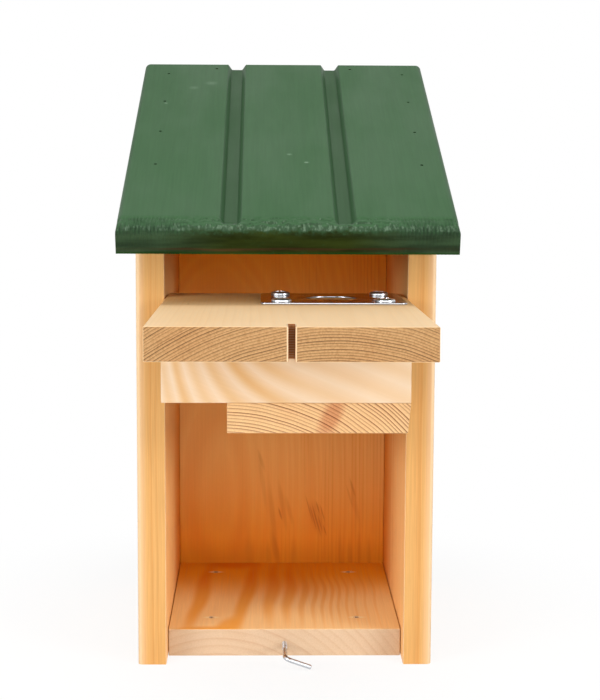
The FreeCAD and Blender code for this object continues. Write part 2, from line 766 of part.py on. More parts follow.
# Every object must be sound before anything is written
doc.recompute()
for item in doc.Objects:
    if "Invalid" in item.State or "Error" in item.State:
        raise RuntimeError(f"{item.Name} failed: {item.State}")
for piece in pieces:
    if piece.Shape.isNull() or not piece.Shape.isValid() or not piece.Shape.Solids:
        raise RuntimeError(f"{piece.Label} has no sound shape")

os.makedirs("parts", exist_ok=True)
for piece in pieces:
    piece.Shape.exportStep(f"parts/{piece.Label}.step")
    print(f"{piece.Label}: {len(piece.Shape.Solids)} solids, {piece.Shape.Volume:.1f} cubic mm")
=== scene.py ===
"""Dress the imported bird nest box: ringed pine boards, a painted roof, bright steel fittings, a white studio.

All lengths are metres in the frame of the solids: +Z up, +Y from the door to the back.
"""

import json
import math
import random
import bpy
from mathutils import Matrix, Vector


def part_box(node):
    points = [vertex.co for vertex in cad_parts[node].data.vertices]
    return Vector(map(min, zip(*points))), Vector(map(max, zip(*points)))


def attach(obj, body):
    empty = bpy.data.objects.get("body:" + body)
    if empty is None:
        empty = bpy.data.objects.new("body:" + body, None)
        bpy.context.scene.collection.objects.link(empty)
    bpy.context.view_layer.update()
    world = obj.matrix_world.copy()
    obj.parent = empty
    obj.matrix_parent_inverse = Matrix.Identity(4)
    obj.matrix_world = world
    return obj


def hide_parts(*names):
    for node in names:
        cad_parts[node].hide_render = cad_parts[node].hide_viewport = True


bl_info = {
    "name": "Nest box dressing",
    "version": (1, 0, 0),
    "blender": (4, 5, 0),
    "location": "View3D > Sidebar > Nest box",
    "description": "Gives a packed nest box its wood grain, paint, fittings and studio",
    "category": "Object",
}

import bmesh
import bpy
from bpy.props import FloatProperty, FloatVectorProperty, PointerProperty
from mathutils import Matrix, Vector, noise

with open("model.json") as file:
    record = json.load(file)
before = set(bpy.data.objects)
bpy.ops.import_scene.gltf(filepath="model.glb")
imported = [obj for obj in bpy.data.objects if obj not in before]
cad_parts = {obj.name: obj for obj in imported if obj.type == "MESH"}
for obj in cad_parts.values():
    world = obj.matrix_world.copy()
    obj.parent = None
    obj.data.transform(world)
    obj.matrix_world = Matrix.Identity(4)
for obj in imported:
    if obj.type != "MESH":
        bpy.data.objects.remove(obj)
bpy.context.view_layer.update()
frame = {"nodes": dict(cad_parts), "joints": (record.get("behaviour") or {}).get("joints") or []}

MM = 0.001
JOINTS = {joint["name"]: joint for joint in frame["joints"]}

# The door at rest: its pivot line, and its own up and outward directions
DOOR_PIVOT = Vector(JOINTS["door_swing"]["pos_m"])
DOOR_OPEN = math.radians(JOINTS["door_swing"]["range_deg"][1])
DOOR_UP = Vector((0, math.sin(DOOR_OPEN), math.cos(DOOR_OPEN)))
DOOR_OUT = Vector((0, -math.cos(DOOR_OPEN), math.sin(DOOR_OPEN)))

# The hook at rest: where its shank leaves the floor, and how far its arm points below level
HOOK_PLACE = Vector(JOINTS["hook_turn"]["pos_m"])
HOOK_DROOP = math.radians(90 + JOINTS["hook_turn"]["range_deg"][0])

RIGHT = Vector((1, 0, 0))
BACK = Vector((0, 1, 0))
UP = Vector((0, 0, 1))


def colour(name, description, default):
    """A colour that a user may change."""
    return FloatVectorProperty(name=name, description=description, subtype="COLOR", size=3,
                               min=0, max=1, default=default)


def length(name, description, millimetres):
    """A length that a user may change."""
    return FloatProperty(name=name, description=description, unit="LENGTH", min=0, default=millimetres * MM)


def share(name, description, default):
    """A share from 0 to 1 that a user may change."""
    return FloatProperty(name=name, description=description, min=0, max=1, default=default)


def power(name, description, watts):
    """A lamp's power that a user may change."""
    return FloatProperty(name=name, description=description, unit="POWER", default=watts)


class NestBoxColours(bpy.types.PropertyGroup):
    """Colours of the woods, the paint and the metals."""

    wall_pale: colour("Wall wood", "Early wood of the side walls", (0.95, 0.58, 0.25))
    wall_ring: colour("Wall rings", "Late wood of the side walls", (0.8, 0.36, 0.1))
    # Painted shade that darkens the walls' front edges
    wall_front_shade: colour("Wall fronts", "Tone that deepens the walls' front edges", (0.62, 0.56, 0.44))
    # Paler sanded wood with a painted highlight on the walls' rounded edges
    wall_edge: colour("Wall edges", "Sanded long edges of the side walls", (0.69, 0.48, 0.28))
    back_pale: colour("Back wood", "Early wood of the back panel", (0.97, 0.56, 0.175))
    back_ring: colour("Back rings", "Late wood of the back panel", (0.86, 0.34, 0.07))
    # Painted shade: a deep tone for the inner faces, the back panel's foot and top, and the floor's back
    painted_shade: colour("Amber tone", "Tone that deepens the wood towards the inner corners", (0.97, 0.62, 0.08))
    corner_shade: colour("Corner shade", "Tone of the back panel's foot", (0.82, 0.82, 0.7))
    grain_line: colour("Fine grain", "Tone of the back panel's fine upright lines", (0.78, 0.58, 0.3))
    resin: colour("Resin streaks", "Streaks in the back panel", (0.46, 0.12, 0.006))
    floor_pale: colour("Floor wood", "Early wood of the floor", (0.98, 0.68, 0.34))
    floor_ring: colour("Floor rings", "Late wood of the floor", (0.86, 0.38, 0.05))
    floor_torn: colour("Torn fibres", "Pale wood round the floor's drain holes", (1.0, 0.86, 0.6))
    floor_end: colour("Floor end grain", "Early wood on the floor's front edge", (0.58, 0.42, 0.28))
    floor_end_ring: colour("Floor end rings", "Late wood on the floor's front edge", (0.42, 0.22, 0.12))
    door_pale: colour("Door wood", "Early wood of the door", (0.84, 0.605, 0.355))
    door_ring: colour("Door rings", "Late wood of the door", (0.78, 0.52, 0.27))
    door_end: colour("Door end grain", "Early wood on the door's foot", (0.42, 0.244, 0.105))
    door_end_ring: colour("Door end rings", "Late wood on the door's foot", (0.085, 0.036, 0.012))
    # Painted warm shade on the open door near its pivot
    door_warm_shade: colour("Door's far end", "Tone that warms the door's outer face", (1.0, 0.8, 0.56))
    # Darker sawn wood with painted shade inside the slot
    saw_cut_shade: colour("Saw cut", "Inside of the slot in the door's foot", (0.30, 0.09, 0.015))
    saw_fringe: colour("Saw fringe", "Torn fibres beside the slot in the door's foot", (0.62, 0.44, 0.27))
    porch_pale: colour("Porch wood", "Early wood of the porch floor", (0.635, 0.5, 0.36))
    porch_ring: colour("Porch rings", "Late wood of the porch floor", (0.545, 0.305, 0.1))
    baffle_pale: colour("Baffle wood", "Early wood of the baffle", (0.68, 0.45, 0.23))
    baffle_ring: colour("Baffle rings", "Late wood of the baffle", (0.14, 0.038, 0.008))
    baffle_stain: colour("Baffle stain", "Reddish heartwood in the baffle's end", (0.74, 0.52, 0.46))
    paint: colour("Paint", "Roof paint", (0.0365, 0.093, 0.0375))
    paint_end: colour("Paint on end grain", "Roof paint where end grain drinks it", (0.0145, 0.022, 0.0035))
    paint_face: colour("Paint at the ends", "Roof paint at the front face's ends", (0.0225, 0.043, 0.02))
    paint_red: colour("Paint over late wood", "Reddish streak in the front face", (0.045, 0.022, 0.009))
    paint_line: colour("Paint at the lower edge", "Line along the front face's foot", (0.009, 0.038, 0.0045))
    # Pale rubbed paint, and painted glints on the front rounding
    paint_scuff_and_glint: colour("Paint scuff", "Roof paint where it is rubbed pale", (0.20, 0.30, 0.20))
    paint_cloud: colour("Paint clouds", "Roof paint in darker clouds", (0.034, 0.088, 0.035))
    # Painted shade in the grooves
    groove_shade: colour("Paint in grooves", "Tone that dulls the grooves", (0.75, 0.78, 0.72))
    paint_nose: colour("Paint on the nose", "Tone that deepens the front rounding", (0.55, 0.58, 0.55))
    # Painted shade between the ribs
    rib_shade: colour("Paint in ribs", "Tone of the torn ribs near the front edge's ends", (0.5, 0.55, 0.5))
    # Painted shade on the rounded side edges
    side_shade: colour("Paint on the sides", "Tone that dulls the rounded side edges", (0.72, 0.74, 0.74))
    plate: colour("Plate steel", "Bright steel of the entrance plate", (0.4, 0.41, 0.43))
    zinc: colour("Zinc", "Plating of the screws and the hook", (0.58, 0.6, 0.63))
    nail: colour("Nail steel", "Plain steel of the brads", (0.10, 0.095, 0.09))
    studio: colour("Studio white", "Studio floor", (0.96, 0.96, 0.96))


class NestBoxSizes(bpy.types.PropertyGroup):
    """Sizes of the pieces that are drawn here in place of plain solids."""

    roof_width: length("Roof width", "Roof board across the slope", 200)
    roof_length: length("Roof length", "Roof board down the slope", 300)
    roof_thickness: length("Roof thickness", "Roof board's thickness", 17)
    roof_slope: FloatProperty(name="Roof slope", description="Roof's slope", subtype="ANGLE",
                              default=math.radians(19.5))
    roof_side_round: length("Roof side rounding", "Rounding of the upper side edges", 4)
    roof_nose: length("Roof nose", "Length of the upper front edge's rounding up the slope", 13)
    roof_nose_drop: length("Roof nose drop", "Height of the upper front edge's rounding", 6)
    groove_pitch: length("Groove pitch", "Distance between the roof's grooves", 67)
    groove_mouth: length("Groove mouth", "Width of a groove at the surface", 13)
    groove_bed: length("Groove bed", "Width of a groove at its bottom", 7)
    groove_depth: length("Groove depth", "Depth of a groove", 4)
    furrow_depth: length("Furrow depth", "Depth of the torn end grain on the roof's front edge", 0.9)
    nail_hole: length("Nail hole", "Diameter of the brad holes in the paint", 2.2)
    nail_hole_depth: length("Nail hole depth", "Depth of the brad holes in the paint", 1.9)
    plate_corner: length("Plate corner", "Radius of the entrance plate's corners", 4)
    plate_rim: length("Plate rim", "Rounding of the entrance plate's edges", 0.3)
    entrance_bore: length("Entrance", "Diameter of the entrance hole", 32)
    plate_screw_bore: length("Plate screw hole", "Diameter of the plate's screw holes", 3.9)
    plate_screw_head: length("Plate screw head", "Diameter of a plate screw's head", 12)
    plate_screw_rise: length("Plate screw height", "Height of a plate screw's head", 2.2)
    slot_width: length("Slot width", "Width of the saw cut in the door's foot", 3.5)
    slot_depth: length("Slot depth", "Depth of the saw cut in the door's foot", 17)
    screw_shank: length("Screw shank", "Diameter of the screws' shanks", 3.5)
    hook_wire: length("Hook wire", "Diameter of the hook's wire", 3)
    hook_thread: length("Hook thread", "Length of the hook's thread outside the floor", 13)
    hook_reach: length("Hook reach", "Hook from the floor's edge to its arm", 32.5)
    hook_arm: length("Hook arm", "Length of the hook's arm", 17.5)
    hook_bend: length("Hook bend", "Radius of the hook's bend", 4)
    hook_bite: length("Hook bite", "Length of the hook in the floor", 22)
    drain_inset: length("Drain inset", "Drain holes from the floor's edges", 27)
    drain_hole: length("Drain hole", "Diameter of the floor's drain holes", 4)


class NestBoxStudio(bpy.types.PropertyGroup):
    """Light and camera."""

    lens: FloatProperty(name="Lens", description="Camera's focal length", subtype="DISTANCE_CAMERA",
                        min=1, default=91.315)
    ambient: share("Ambient light", "Strength of the even light from all round", 0.18)
    key_power: power("Key lamp", "Power of the lamp overhead", 22)
    front_power: power("Front lamp", "Power of the lamp in front", 13)
    side_power: power("Side lamps", "Power of each tall lamp in front to a side", 14.5)
    low_power: power("Low lamps", "Power of each low lamp at a side", 8.5)


class NestBoxSettings(bpy.types.PropertyGroup):
    """All that a user may change."""

    colours: PointerProperty(type=NestBoxColours)
    sizes: PointerProperty(type=NestBoxSizes)
    studio: PointerProperty(type=NestBoxStudio)


# Shader building


def add(tree, kind, *values, named=None, **settings):
    """Add a node, set its properties, and feed its inputs in order or by name."""
    made = tree.nodes.new(kind)
    for name, value in settings.items():
        setattr(made, name, value)
    feeds = list(enumerate(values)) + list((named or {}).items())
    for key, value in feeds:
        if isinstance(value, bpy.types.NodeSocket):
            tree.links.new(value, made.inputs[key])
        elif value is not None:
            made.inputs[key].default_value = value
    return made


def maths(tree, operation, *values):
    """The result of a sum on numbers."""
    return add(tree, "ShaderNodeMath", *values, operation=operation).outputs[0]


def vectors(tree, operation, *values):
    """The result of a sum on vectors."""
    made = add(tree, "ShaderNodeVectorMath", *values, operation=operation)
    return made.outputs["Value" if operation in ("DOT_PRODUCT", "LENGTH") else "Vector"]


def mixed(tree, factor, first, second, blend="MIX"):
    """Two colours mixed by a factor."""
    made = add(tree, "ShaderNodeMix", data_type="RGBA", blend_type=blend)
    for name, value in ((0, factor), (6, first), (7, second)):
        if isinstance(value, bpy.types.NodeSocket):
            tree.links.new(value, made.inputs[name])
        else:
            made.inputs[name].default_value = value if name == 0 else (*value, 1)
    return made.outputs[2]


def ranged(tree, value, low, high, start=0.0, end=1.0):
    """A number carried smoothly from one range to another."""
    made = add(tree, "ShaderNodeMapRange", value, low, high, start, end, interpolation_type="SMOOTHSTEP")
    return made.outputs[0]


def speckle(tree, vector, scale, detail=2.0, roughness=0.5):
    """Cloudy noise between 0 and 1 at a place."""
    named = {"Vector": vector, "Scale": scale, "Detail": detail, "Roughness": roughness}
    return add(tree, "ShaderNodeTexNoise", named=named)


def drawn_out(tree, place, kind, detail, roughness=0.5):
    """Cloudy noise of a kind: how far it is drawn out each way, and its count in a metre."""
    stretch, scale = kind
    return speckle(tree, vectors(tree, "MULTIPLY", place, stretch), scale, detail, roughness)


def shaded(tree, tone, level):
    """A colour made lighter or darker by a number."""
    grey = add(tree, "ShaderNodeCombineColor", level, level, level).outputs[0]
    return mixed(tree, 1.0, tone, grey, "MULTIPLY")


def new_material(name):
    """A material with a plain surface shader, and its parts."""
    material = bpy.data.materials.new(name)
    material.use_nodes = True
    tree = material.node_tree
    return material, tree, tree.nodes["Principled BSDF"]


def set_shader(tree, shader, **inputs):
    """Set or link a surface shader's inputs, spelt with underscores."""
    for name, value in inputs.items():
        socket = shader.inputs[name.replace("_", " ")]
        if isinstance(value, bpy.types.NodeSocket):
            tree.links.new(value, socket)
        else:
            socket.default_value = (*value, 1) if socket.type == "RGBA" else value


# Noises in a trunk that stands along Z: how far each is drawn out, and its count in a metre
SLOW_WANDER = ((1, 1, 0.16), 16)
BROAD_CLOUDS = ((1, 1, 0.25), 22)
FINE_FIBRES = ((1, 1, 0.022), 1100)
# How quickly the rings' width changes from year to year
YEAR_PACE = 0.33
# A year from spring to winter: share of the ring's width, and darkness there
SEASONS = ((0.30, 0.03), (0.62, 0.32), (0.84, 1.0), (0.93, 0.9))
# Strength of the faintest rings beside the boldest
FAINTEST_RING = 0.5
MIDDLE_GREY = (0.5, 0.5, 0.5)


def group_of_growth():
    """Growth rings, fibres and cloudy tone of a tree trunk that stands along its own Z."""
    tree = bpy.data.node_groups.new("pine_growth", "ShaderNodeTree")
    tree.interface.new_socket(name="Place", in_out="INPUT", socket_type="NodeSocketVector")
    for name in ("Ring Width", "Taper", "Flare", "Wander", "Unevenness", "Softness"):
        tree.interface.new_socket(name=name, in_out="INPUT", socket_type="NodeSocketFloat")
    for name in ("Ring", "Fibre", "Tone"):
        tree.interface.new_socket(name=name, in_out="OUTPUT", socket_type="NodeSocketFloat")
    given = tree.nodes.new("NodeGroupInput").outputs
    place = given["Place"]

    # The trunk isn't straight: its rings wander slowly along it
    slow = drawn_out(tree, place, SLOW_WANDER, 2).outputs["Color"]
    drift = vectors(tree, "SUBTRACT", slow, MIDDLE_GREY)
    drift = add(tree, "ShaderNodeVectorMath", drift, named={"Scale": given["Wander"]}, operation="SCALE")
    apart = add(tree, "ShaderNodeSeparateXYZ", vectors(tree, "ADD", place, drift.outputs[0])).outputs
    tapered = maths(tree, "MULTIPLY", apart[2], given["Taper"])
    flat = add(tree, "ShaderNodeCombineXYZ", apart[0], apart[1], tapered).outputs[0]
    # Towards a bough or the foot the rings lean out ever more
    steep = maths(tree, "POWER", maths(tree, "MAXIMUM", apart[2], 0.0), 3.0)
    radius = maths(tree, "MULTIPLY_ADD", steep, given["Flare"], vectors(tree, "LENGTH", flat))
    count = maths(tree, "DIVIDE", radius, given["Ring Width"])

    # Good and bad years: rings differ in width and in strength
    pace = maths(tree, "MULTIPLY", count, YEAR_PACE)
    named = {"W": pace, "Scale": 1.0, "Detail": 1.0}
    years = add(tree, "ShaderNodeTexNoise", named=named, noise_dimensions="1D")
    count = maths(tree, "MULTIPLY_ADD", years.outputs[0], given["Unevenness"], count)
    whole = maths(tree, "FLOOR", count)
    year = add(tree, "ShaderNodeTexWhiteNoise", named={"W": whole}, noise_dimensions="1D")
    season = add(tree, "ShaderNodeValToRGB", maths(tree, "FRACT", count))
    stops = season.color_ramp.elements
    stops[0].position = 0.0
    stops[1].position = 1.0
    stops[1].color = (0, 0, 0, 1)
    for position, grey in SEASONS:
        stops.new(position).color = (grey, grey, grey, 1)
    # A slanting cut through wide rings shows soft waves in place of thin lines
    turn = maths(tree, "COSINE", maths(tree, "MULTIPLY", count, 2 * math.pi))
    wave = maths(tree, "MULTIPLY_ADD", turn, -0.5, 0.5)
    blend = add(tree, "ShaderNodeMix", named={0: given["Softness"], 2: season.outputs[0], 3: wave})
    strength = ranged(tree, year.outputs["Value"], 0, 1, FAINTEST_RING, 1)
    ring = maths(tree, "MULTIPLY", blend.outputs[0], strength)

    fibre = drawn_out(tree, place, FINE_FIBRES, 3, 0.65).outputs[0]
    tone = drawn_out(tree, place, BROAD_CLOUDS, 3).outputs[0]
    add(tree, "NodeGroupOutput", ring, fibre, tone)


def trunk_place(tree, along, pith):
    """Where a point of a board lies in the trunk that the board was sawn from."""
    along = along.normalized()
    across = along.orthogonal().normalized()
    third = along.cross(across)
    seat = add(tree, "ShaderNodeTexCoord").outputs
    off_pith = vectors(tree, "SUBTRACT", seat["Object"], pith)
    parts = [vectors(tree, "DOT_PRODUCT", off_pith, direction) for direction in (across, third, along)]
    place = add(tree, "ShaderNodeCombineXYZ", *parts).outputs[0]
    facing = maths(tree, "ABSOLUTE", vectors(tree, "DOT_PRODUCT", seat["Normal"], along))
    return place, facing


# Count in a metre of the slow noise that bends streaks
SWAY_SCALE = 16


def spindles(marks, tone, blend="MIX", normal=BACK, sway=0.0):
    """A touch of long streaks on a face, each with its middle, its run, its half width and its strength."""

    def touch(tree, seat, wood):
        slow = speckle(tree, seat["Object"], SWAY_SCALE, 0).outputs["Color"]
        slow = vectors(tree, "SUBTRACT", slow, MIDDLE_GREY)
        swayed = vectors(tree, "MULTIPLY_ADD", slow, (sway, sway, sway), seat["Object"])
        for centre, run, half, strength in marks:
            side = run.cross(normal).normalized()
            off = vectors(tree, "SUBTRACT", swayed, centre)
            along = vectors(tree, "DOT_PRODUCT", off, run / run.length_squared * 2)
            across = vectors(tree, "DOT_PRODUCT", off, side / half)
            away = vectors(tree, "LENGTH", add(tree, "ShaderNodeCombineXYZ", along, across).outputs[0])
            wood = mixed(tree, ranged(tree, away, 1.0, 0.3, 0, strength), wood, tone, blend)
        return wood

    return touch


def only_facing(direction, *inner):
    """A touch made of others, that only shows on faces that look one way."""

    def touch(tree, seat, wood):
        turned_so = ranged(tree, vectors(tree, "DOT_PRODUCT", seat["Normal"], direction), 0.5, 0.8)
        touched = wood
        for part in inner:
            touched = part(tree, seat, touched)
        return mixed(tree, turned_so, wood, touched)

    return touch


def sanded_and_lit_edges(tone):
    """A touch of paler sanded wood and a painted highlight on edges that round over to the side."""

    def touch(tree, seat, wood):
        lean = maths(tree, "ABSOLUTE", vectors(tree, "DOT_PRODUCT", seat["Normal"], RIGHT))
        band = maths(tree, "MULTIPLY", ranged(tree, lean, 0.1, 0.5), ranged(tree, lean, 0.999, 0.97))
        return mixed(tree, band, wood, tone)

    return touch


def deepened(direction, start, end, tone, blend="MULTIPLY", strength=1.0):
    """A touch of another tone that grows from one distance to another along a direction."""

    def touch(tree, seat, wood):
        run = vectors(tree, "DOT_PRODUCT", seat["Object"], direction)
        return mixed(tree, ranged(tree, run, start, end, 0, strength), wood, tone, blend)

    return touch


def lowered(start, end, tone):
    """A touch of another tone that grows downwards from one height to a lower one."""
    return deepened(-UP, -start, -end, tone)


# Noises that bend and break fine lines, and how far they bend them, in radians of their spacing
LINE_BENDS = ((1, 1, 0.08), 45)
LINE_BREAKS = ((1, 1, 0.08), 90)
LINE_SWAY = 14


def fine_lines(pitch, start, end, tone, strength):
    """A touch of fine upright lines, uneven in strength, that grow towards the right."""

    def touch(tree, seat, wood):
        across = vectors(tree, "DOT_PRODUCT", seat["Object"], RIGHT)
        bends = drawn_out(tree, seat["Object"], LINE_BENDS, 2).outputs[0]
        sway = maths(tree, "MULTIPLY", bends, LINE_SWAY)
        phase = maths(tree, "MULTIPLY_ADD", across, 2 * math.pi / pitch, sway)
        breaks = drawn_out(tree, seat["Object"], LINE_BREAKS, 1).outputs[0]
        uneven = ranged(tree, breaks, 0.35, 0.7, 0, strength)
        shown = maths(tree, "MULTIPLY", uneven, ranged(tree, across, start, end, 0.15, 1))
        line = maths(tree, "MULTIPLY", ranged(tree, maths(tree, "SINE", phase), 0.0, 1.0), shown)
        return mixed(tree, line, wood, tone, "MULTIPLY")

    return touch


def front_shade_edges(tone):
    """A touch of painted shade on the edges that face the front."""

    def touch(tree, seat, wood):
        facing = vectors(tree, "DOT_PRODUCT", seat["Normal"], -BACK)
        return mixed(tree, ranged(tree, facing, 0.75, 0.97), wood, tone, "MULTIPLY")

    return touch


# Tones that pine takes in darker clouds, in clouds on its end grain and in the end grain's pores
CLOUD_TONE = (0.97, 0.88, 0.74)
END_CLOUD_TONE = (0.95, 0.84, 0.76)
PORE_TONE = (0.66, 0.58, 0.50)
# Count of pores in a metre
PORE_SCALE = 1000
# How far full fibres darken and lighten the wood
FIBRE_DARK = 0.1
FIBRE_LIGHT = 0.06
# How far fibres and rings stand out of planed wood, and how glossy it is
WOOD_RELIEF = 0.25 * MM
WOOD_GLOSS = 0.15


def pine(name, along, pith, ring_width, pale, ring, end_pale=None, end_ring=None, taper=0.0, flare=0.0,
         wander=6 * MM, unevenness=2.4, softness=0.0, contrast=1.0, end_contrast=1.0, fibres=1.0,
         pores=0.6, touches=()):
    """Sawn pine: rings about the pith, fibres along the grain, darker and rougher end grain."""
    material, tree, shader = new_material(name)
    place, facing = trunk_place(tree, along, pith)
    named = {"Place": place, "Ring Width": ring_width, "Taper": taper, "Flare": flare, "Wander": wander,
             "Unevenness": unevenness, "Softness": softness}
    pattern = bpy.data.node_groups["pine_growth"]
    growth = add(tree, "ShaderNodeGroup", named=named, node_tree=pattern).outputs
    rings = growth["Ring"]
    fibre = growth["Fibre"]
    tone = growth["Tone"]

    face = mixed(tree, maths(tree, "MULTIPLY", rings, contrast), pale, ring)
    face = mixed(tree, ranged(tree, tone, 0.35, 0.75, 0, 0.5), face, CLOUD_TONE, "MULTIPLY")
    end = mixed(tree, maths(tree, "MULTIPLY", rings, end_contrast), end_pale or pale, end_ring or ring)
    end = mixed(tree, ranged(tree, tone, 0.4, 0.7, 0, 0.4), end, END_CLOUD_TONE, "MULTIPLY")
    pits = speckle(tree, place, PORE_SCALE, 2, 0.6).outputs[0]
    end = mixed(tree, ranged(tree, pits, 0.35, 0.7, 0, pores), end, PORE_TONE, "MULTIPLY")
    on_end = ranged(tree, facing, 0.55, 0.9)
    wood = mixed(tree, on_end, face, end)
    streak = ranged(tree, fibre, 0.25, 0.75, 1 - FIBRE_DARK * fibres, 1 + FIBRE_LIGHT * fibres)
    wood = shaded(tree, wood, streak)
    seat = add(tree, "ShaderNodeTexCoord").outputs
    for touch in touches:
        wood = touch(tree, seat, wood)

    relief = maths(tree, "ADD", maths(tree, "MULTIPLY", fibre, 0.6), maths(tree, "MULTIPLY", rings, 0.4))
    bump = add(tree, "ShaderNodeBump", named={"Strength": 0.25, "Distance": WOOD_RELIEF, "Height": relief})
    planed = ranged(tree, fibre, 0.2, 0.8, 0.42, 0.58)
    rough = maths(tree, "MULTIPLY_ADD", on_end, 0.25, planed)
    set_shader(tree, shader, Base_Color=wood, Roughness=rough, Normal=bump.outputs[0])
    shader.inputs["Specular IOR Level"].default_value = WOOD_GLOSS
    return material


# Noises in the roof's paint: how far each is drawn out, and its count in a metre
PAINT_CLOUDS = ((1, 1, 0.4), 26)
BRUSH_MARKS = ((1, 1, 0.03), 700)
FACE_BANDS = ((0.12, 1, 1), 160)
NOSE_GLINTS = ((1, 0.4, 0.4), 620)
GRIT_SCALE = 1600
BLOTCH_SCALE = 300
RIB_SWAY_SCALE = 120
# How far brush marks and grit stand out of the paint
PAINT_RELIEF = 0.2 * MM
# Depths below the top between which painted shade darkens a groove
GROOVE_SHADE_FROM = 1.5 * MM
GROOVE_SHADE_TO = 3.5 * MM
# How far the front face's bands wave, and the height of its reddish one
BAND_WAVE = 4 * MM
RED_BAND = 2.9 * MM
# Distances from the middle between which the front face turns greener, its reddish band ends and ribs grow
GREENER = (30 * MM, 80 * MM)
RED_ENDS = (60 * MM, 85 * MM)
RIBS_GROW = (45 * MM, 75 * MM)
# Spacing of the torn ribs on the front edge, and how far they sway, in radians of it
RIB_PITCH = 2.2 * MM
RIB_SWAY = 6.0


def brushed_coat(tree, colours, place, spot, rise, thickness, scuffs):
    """The roof's paint with rubbed spots and painted shade in the grooves, and the cloud, brush and grit
    noises in it.
    """
    cloud = drawn_out(tree, place, PAINT_CLOUDS, 4).outputs[0]
    brush = drawn_out(tree, place, BRUSH_MARKS, 3, 0.6).outputs[0]
    grit = speckle(tree, place, GRIT_SCALE, 2, 0.7).outputs[0]
    coat = mixed(tree, ranged(tree, cloud, 0.3, 0.7, 0, 0.35), colours.paint, colours.paint_cloud)
    coat = shaded(tree, coat, ranged(tree, brush, 0.25, 0.75, 0.93, 1.06))
    for centre, reach, strength in scuffs:
        away = vectors(tree, "LENGTH", vectors(tree, "SUBTRACT", spot, centre))
        ragged = maths(tree, "ADD", away, maths(tree, "MULTIPLY", grit, reach * 0.9))
        rubbed = ranged(tree, ragged, reach * 1.4, reach * 0.5, 0, strength)
        coat = mixed(tree, rubbed, coat, colours.paint_scuff_and_glint)
    # Painted shade in the grooves
    sunk = ranged(tree, rise, thickness - GROOVE_SHADE_FROM, thickness - GROOVE_SHADE_TO, 0, 0.8)
    return mixed(tree, sunk, coat, colours.groove_shade, "MULTIPLY"), cloud, brush, grit


def torn_nose(tree, colours, spot, facing, aside, coat):
    """The paint, deeper on the front rounding, with pale painted glints and ribs of painted shade; and where
    the glints lie.
    """
    nosed = maths(tree, "MULTIPLY", ranged(tree, facing, 0.2, 0.3), ranged(tree, facing, 0.65, 0.5))
    tall = drawn_out(tree, spot, NOSE_GLINTS, 2, 0.6).outputs[0]
    glints = maths(tree, "MULTIPLY", ranged(tree, tall, 0.44, 0.68, 0, 0.32), nosed)
    coat = mixed(tree, ranged(tree, facing, 0.15, 0.35), coat, colours.paint_nose, "MULTIPLY")
    # Pale flecks on the rounding are painted glints
    coat = mixed(tree, glints, coat, colours.paint_scuff_and_glint)
    # Upright ribs of torn grain near both ends, darkened between them by painted shade
    across = vectors(tree, "DOT_PRODUCT", spot, RIGHT * (2 * math.pi / RIB_PITCH))
    sway = speckle(tree, spot, RIB_SWAY_SCALE, 2).outputs[0]
    ribs = maths(tree, "SINE", maths(tree, "MULTIPLY_ADD", sway, RIB_SWAY, across))
    near_ends = ranged(tree, aside, *RIBS_GROW, 0.25, 1)
    on_nose = maths(tree, "MULTIPLY", ranged(tree, facing, 0.18, 0.4), near_ends)
    shown = maths(tree, "MULTIPLY", ranged(tree, ribs, -0.2, 0.8, 0, 0.75), on_nose)
    return mixed(tree, shown, coat, colours.rib_shade, "MULTIPLY"), nosed


def end_face(tree, colours, spot, rise, aside):
    """The roof's front face: level bands of year rings, and greener paint near both ends."""
    ripple = drawn_out(tree, spot, FACE_BANDS, 3, 0.6).outputs[0]
    wavy = maths(tree, "MULTIPLY_ADD", ripple, BAND_WAVE, maths(tree, "SUBTRACT", rise, BAND_WAVE / 2))
    face = mixed(tree, ranged(tree, aside, *GREENER), colours.paint_end, colours.paint_face)
    off_streak = maths(tree, "ABSOLUTE", maths(tree, "SUBTRACT", wavy, RED_BAND))
    inward = ranged(tree, aside, *RED_ENDS, 0.75, 0.15)
    streak = maths(tree, "MULTIPLY", ranged(tree, off_streak, 1.1 * MM, 0.3 * MM), inward)
    face = mixed(tree, streak, face, colours.paint_red)
    face = mixed(tree, ranged(tree, wavy, 1.4 * MM, 0.7 * MM, 0, 0.8), face, colours.paint_line)
    return shaded(tree, face, ranged(tree, ripple, 0.3, 0.7, 0.6, 1.4))


